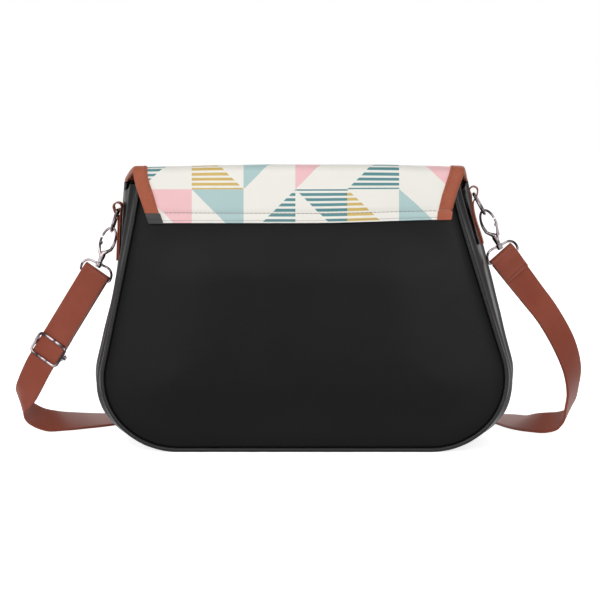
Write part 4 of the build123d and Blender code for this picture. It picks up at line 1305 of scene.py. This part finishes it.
# stitches across the sewn end on the right
endSeam = dict(count=7, pitch=2.7, lift=0.08 * mm, fromEnd=2.2 * mm, thread=(2.0 * mm, 0.28 * mm))
rightFold = planes["right"]["fold"]
spots = []
for k in range(endSeam["count"]):
    place = onPlane(rightFold, strap["middle"] - strap["drawnIn"] + strap["thickness"] / 2 + endSeam["lift"],
                    -strap["endLeg"] + endSeam["fromEnd"], (k - endSeam["count"] // 2) * endSeam["pitch"] * mm)
    spots.append((place, rightFold[3], rightFold[1]))
endStitches = stitchRow("strapEndStitches", spots, brownThread, "strap_brown", *endSeam["thread"])
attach(endStitches, "bag")
print("strap ready")

# ---- floor, light

seenRays = ("Is Camera Ray", "Is Glossy Ray", "Is Transmission Ray")
floorSettings = dict(size=14, strength=0.80)
deselectAll()
bpy.ops.mesh.primitive_plane_add(size=floorSettings["size"], location=(0, 0, 0))
floorPiece = bpy.context.object
floorPiece.name = "floor"


def floorFinish():
    made = Finish("floorWhite", Base_Color=(0.93, 0.93, 0.93, 1), Roughness=0.9, Specular_IOR_Level=0.0)
    seen = sum(made.node("ShaderNodeLightPath", out=ray) for ray in seenRays)
    glow = made.node("ShaderNodeEmission", None,
                     {"Color": (1, 1, 1, 1), "Strength": seen * floorSettings["strength"]})
    both = made.node("ShaderNodeAddShader", None, {0: glow, 1: Wire(made, made.shader.outputs[0])})
    output = next(n for n in made.tree.nodes if n.type == "OUTPUT_MATERIAL")
    made.feed(output.inputs[0], both)
    return made.material


floorPiece.data.materials.append(floorFinish())

# what lights the bag, and what the camera and shiny parts see
worldSettings = dict(ambient=0.26, seen=1.0)
world = bpy.data.worlds.new("studio")
bpy.context.scene.world = world
world.use_nodes = True
worldNodes = world.node_tree.nodes
background = next(n for n in worldNodes if n.type == "BACKGROUND")
background.inputs["Strength"].default_value = worldSettings["ambient"]
bright = worldNodes.new("ShaderNodeBackground")
bright.inputs["Strength"].default_value = worldSettings["seen"]
bright.inputs["Color"].default_value = background.inputs["Color"].default_value = (1, 1, 1, 1)
path = worldNodes.new("ShaderNodeLightPath")
chooser = worldNodes.new("ShaderNodeMixShader")
worldOutput = next(n for n in worldNodes if n.type == "OUTPUT_WORLD")
link = world.node_tree.links.new
seen = None
for ray in seenRays:
    adder = worldNodes.new("ShaderNodeMath")
    adder.use_clamp = True
    adder.inputs[1].default_value = 0.0
    link(path.outputs[ray], adder.inputs[0])
    if seen:
        link(seen, adder.inputs[1])
    seen = adder.outputs[0]
for place, source in enumerate((seen, background.outputs[0], bright.outputs[0])):
    link(source, chooser.inputs[place])
link(chooser.outputs[0], worldOutput.inputs[0])

lamps = (
    dict(name="keyAbove", spot=(0.5, 1.3, 1.6), size=(1.2, 0.9), power=7.5),
    dict(name="sheenAbove", spot=(0.0, 1.6, 0.85), size=(1.6, 0.25), power=3.3),
    dict(name="stripLeft", spot=(0.50, 1.5, 0.5), size=(0.2, 0.9), power=3.8),
    dict(name="stripRight", spot=(-0.50, 1.5, 0.5), size=(0.2, 0.9), power=4.8),
    dict(name="sideLeft", spot=(1.2, 0.45, 0.4), size=(0.25, 1.0), power=3.0),
    dict(name="fillFront", spot=(-0.4, -1.3, 1.1), size=(1.2, 0.9), power=6),
)
for lamp in lamps:
    lampData = bpy.data.lights.new(lamp["name"], "AREA")
    lampData.shape = "RECTANGLE"
    lampData.size, lampData.size_y = lamp["size"]
    lampData.energy = lamp["power"]
    lampObject = bpy.data.objects.new(lamp["name"], lampData)
    lampObject.location = lamp["spot"]
    aim = Vector((0, 0, 0.1)) - lampObject.location
    lampObject.rotation_euler = aim.to_track_quat("-Z", "Y").to_euler()
    bpy.context.scene.collection.objects.link(lampObject)
bpy.context.scene.view_settings.view_transform = "Standard"
print("light ready")

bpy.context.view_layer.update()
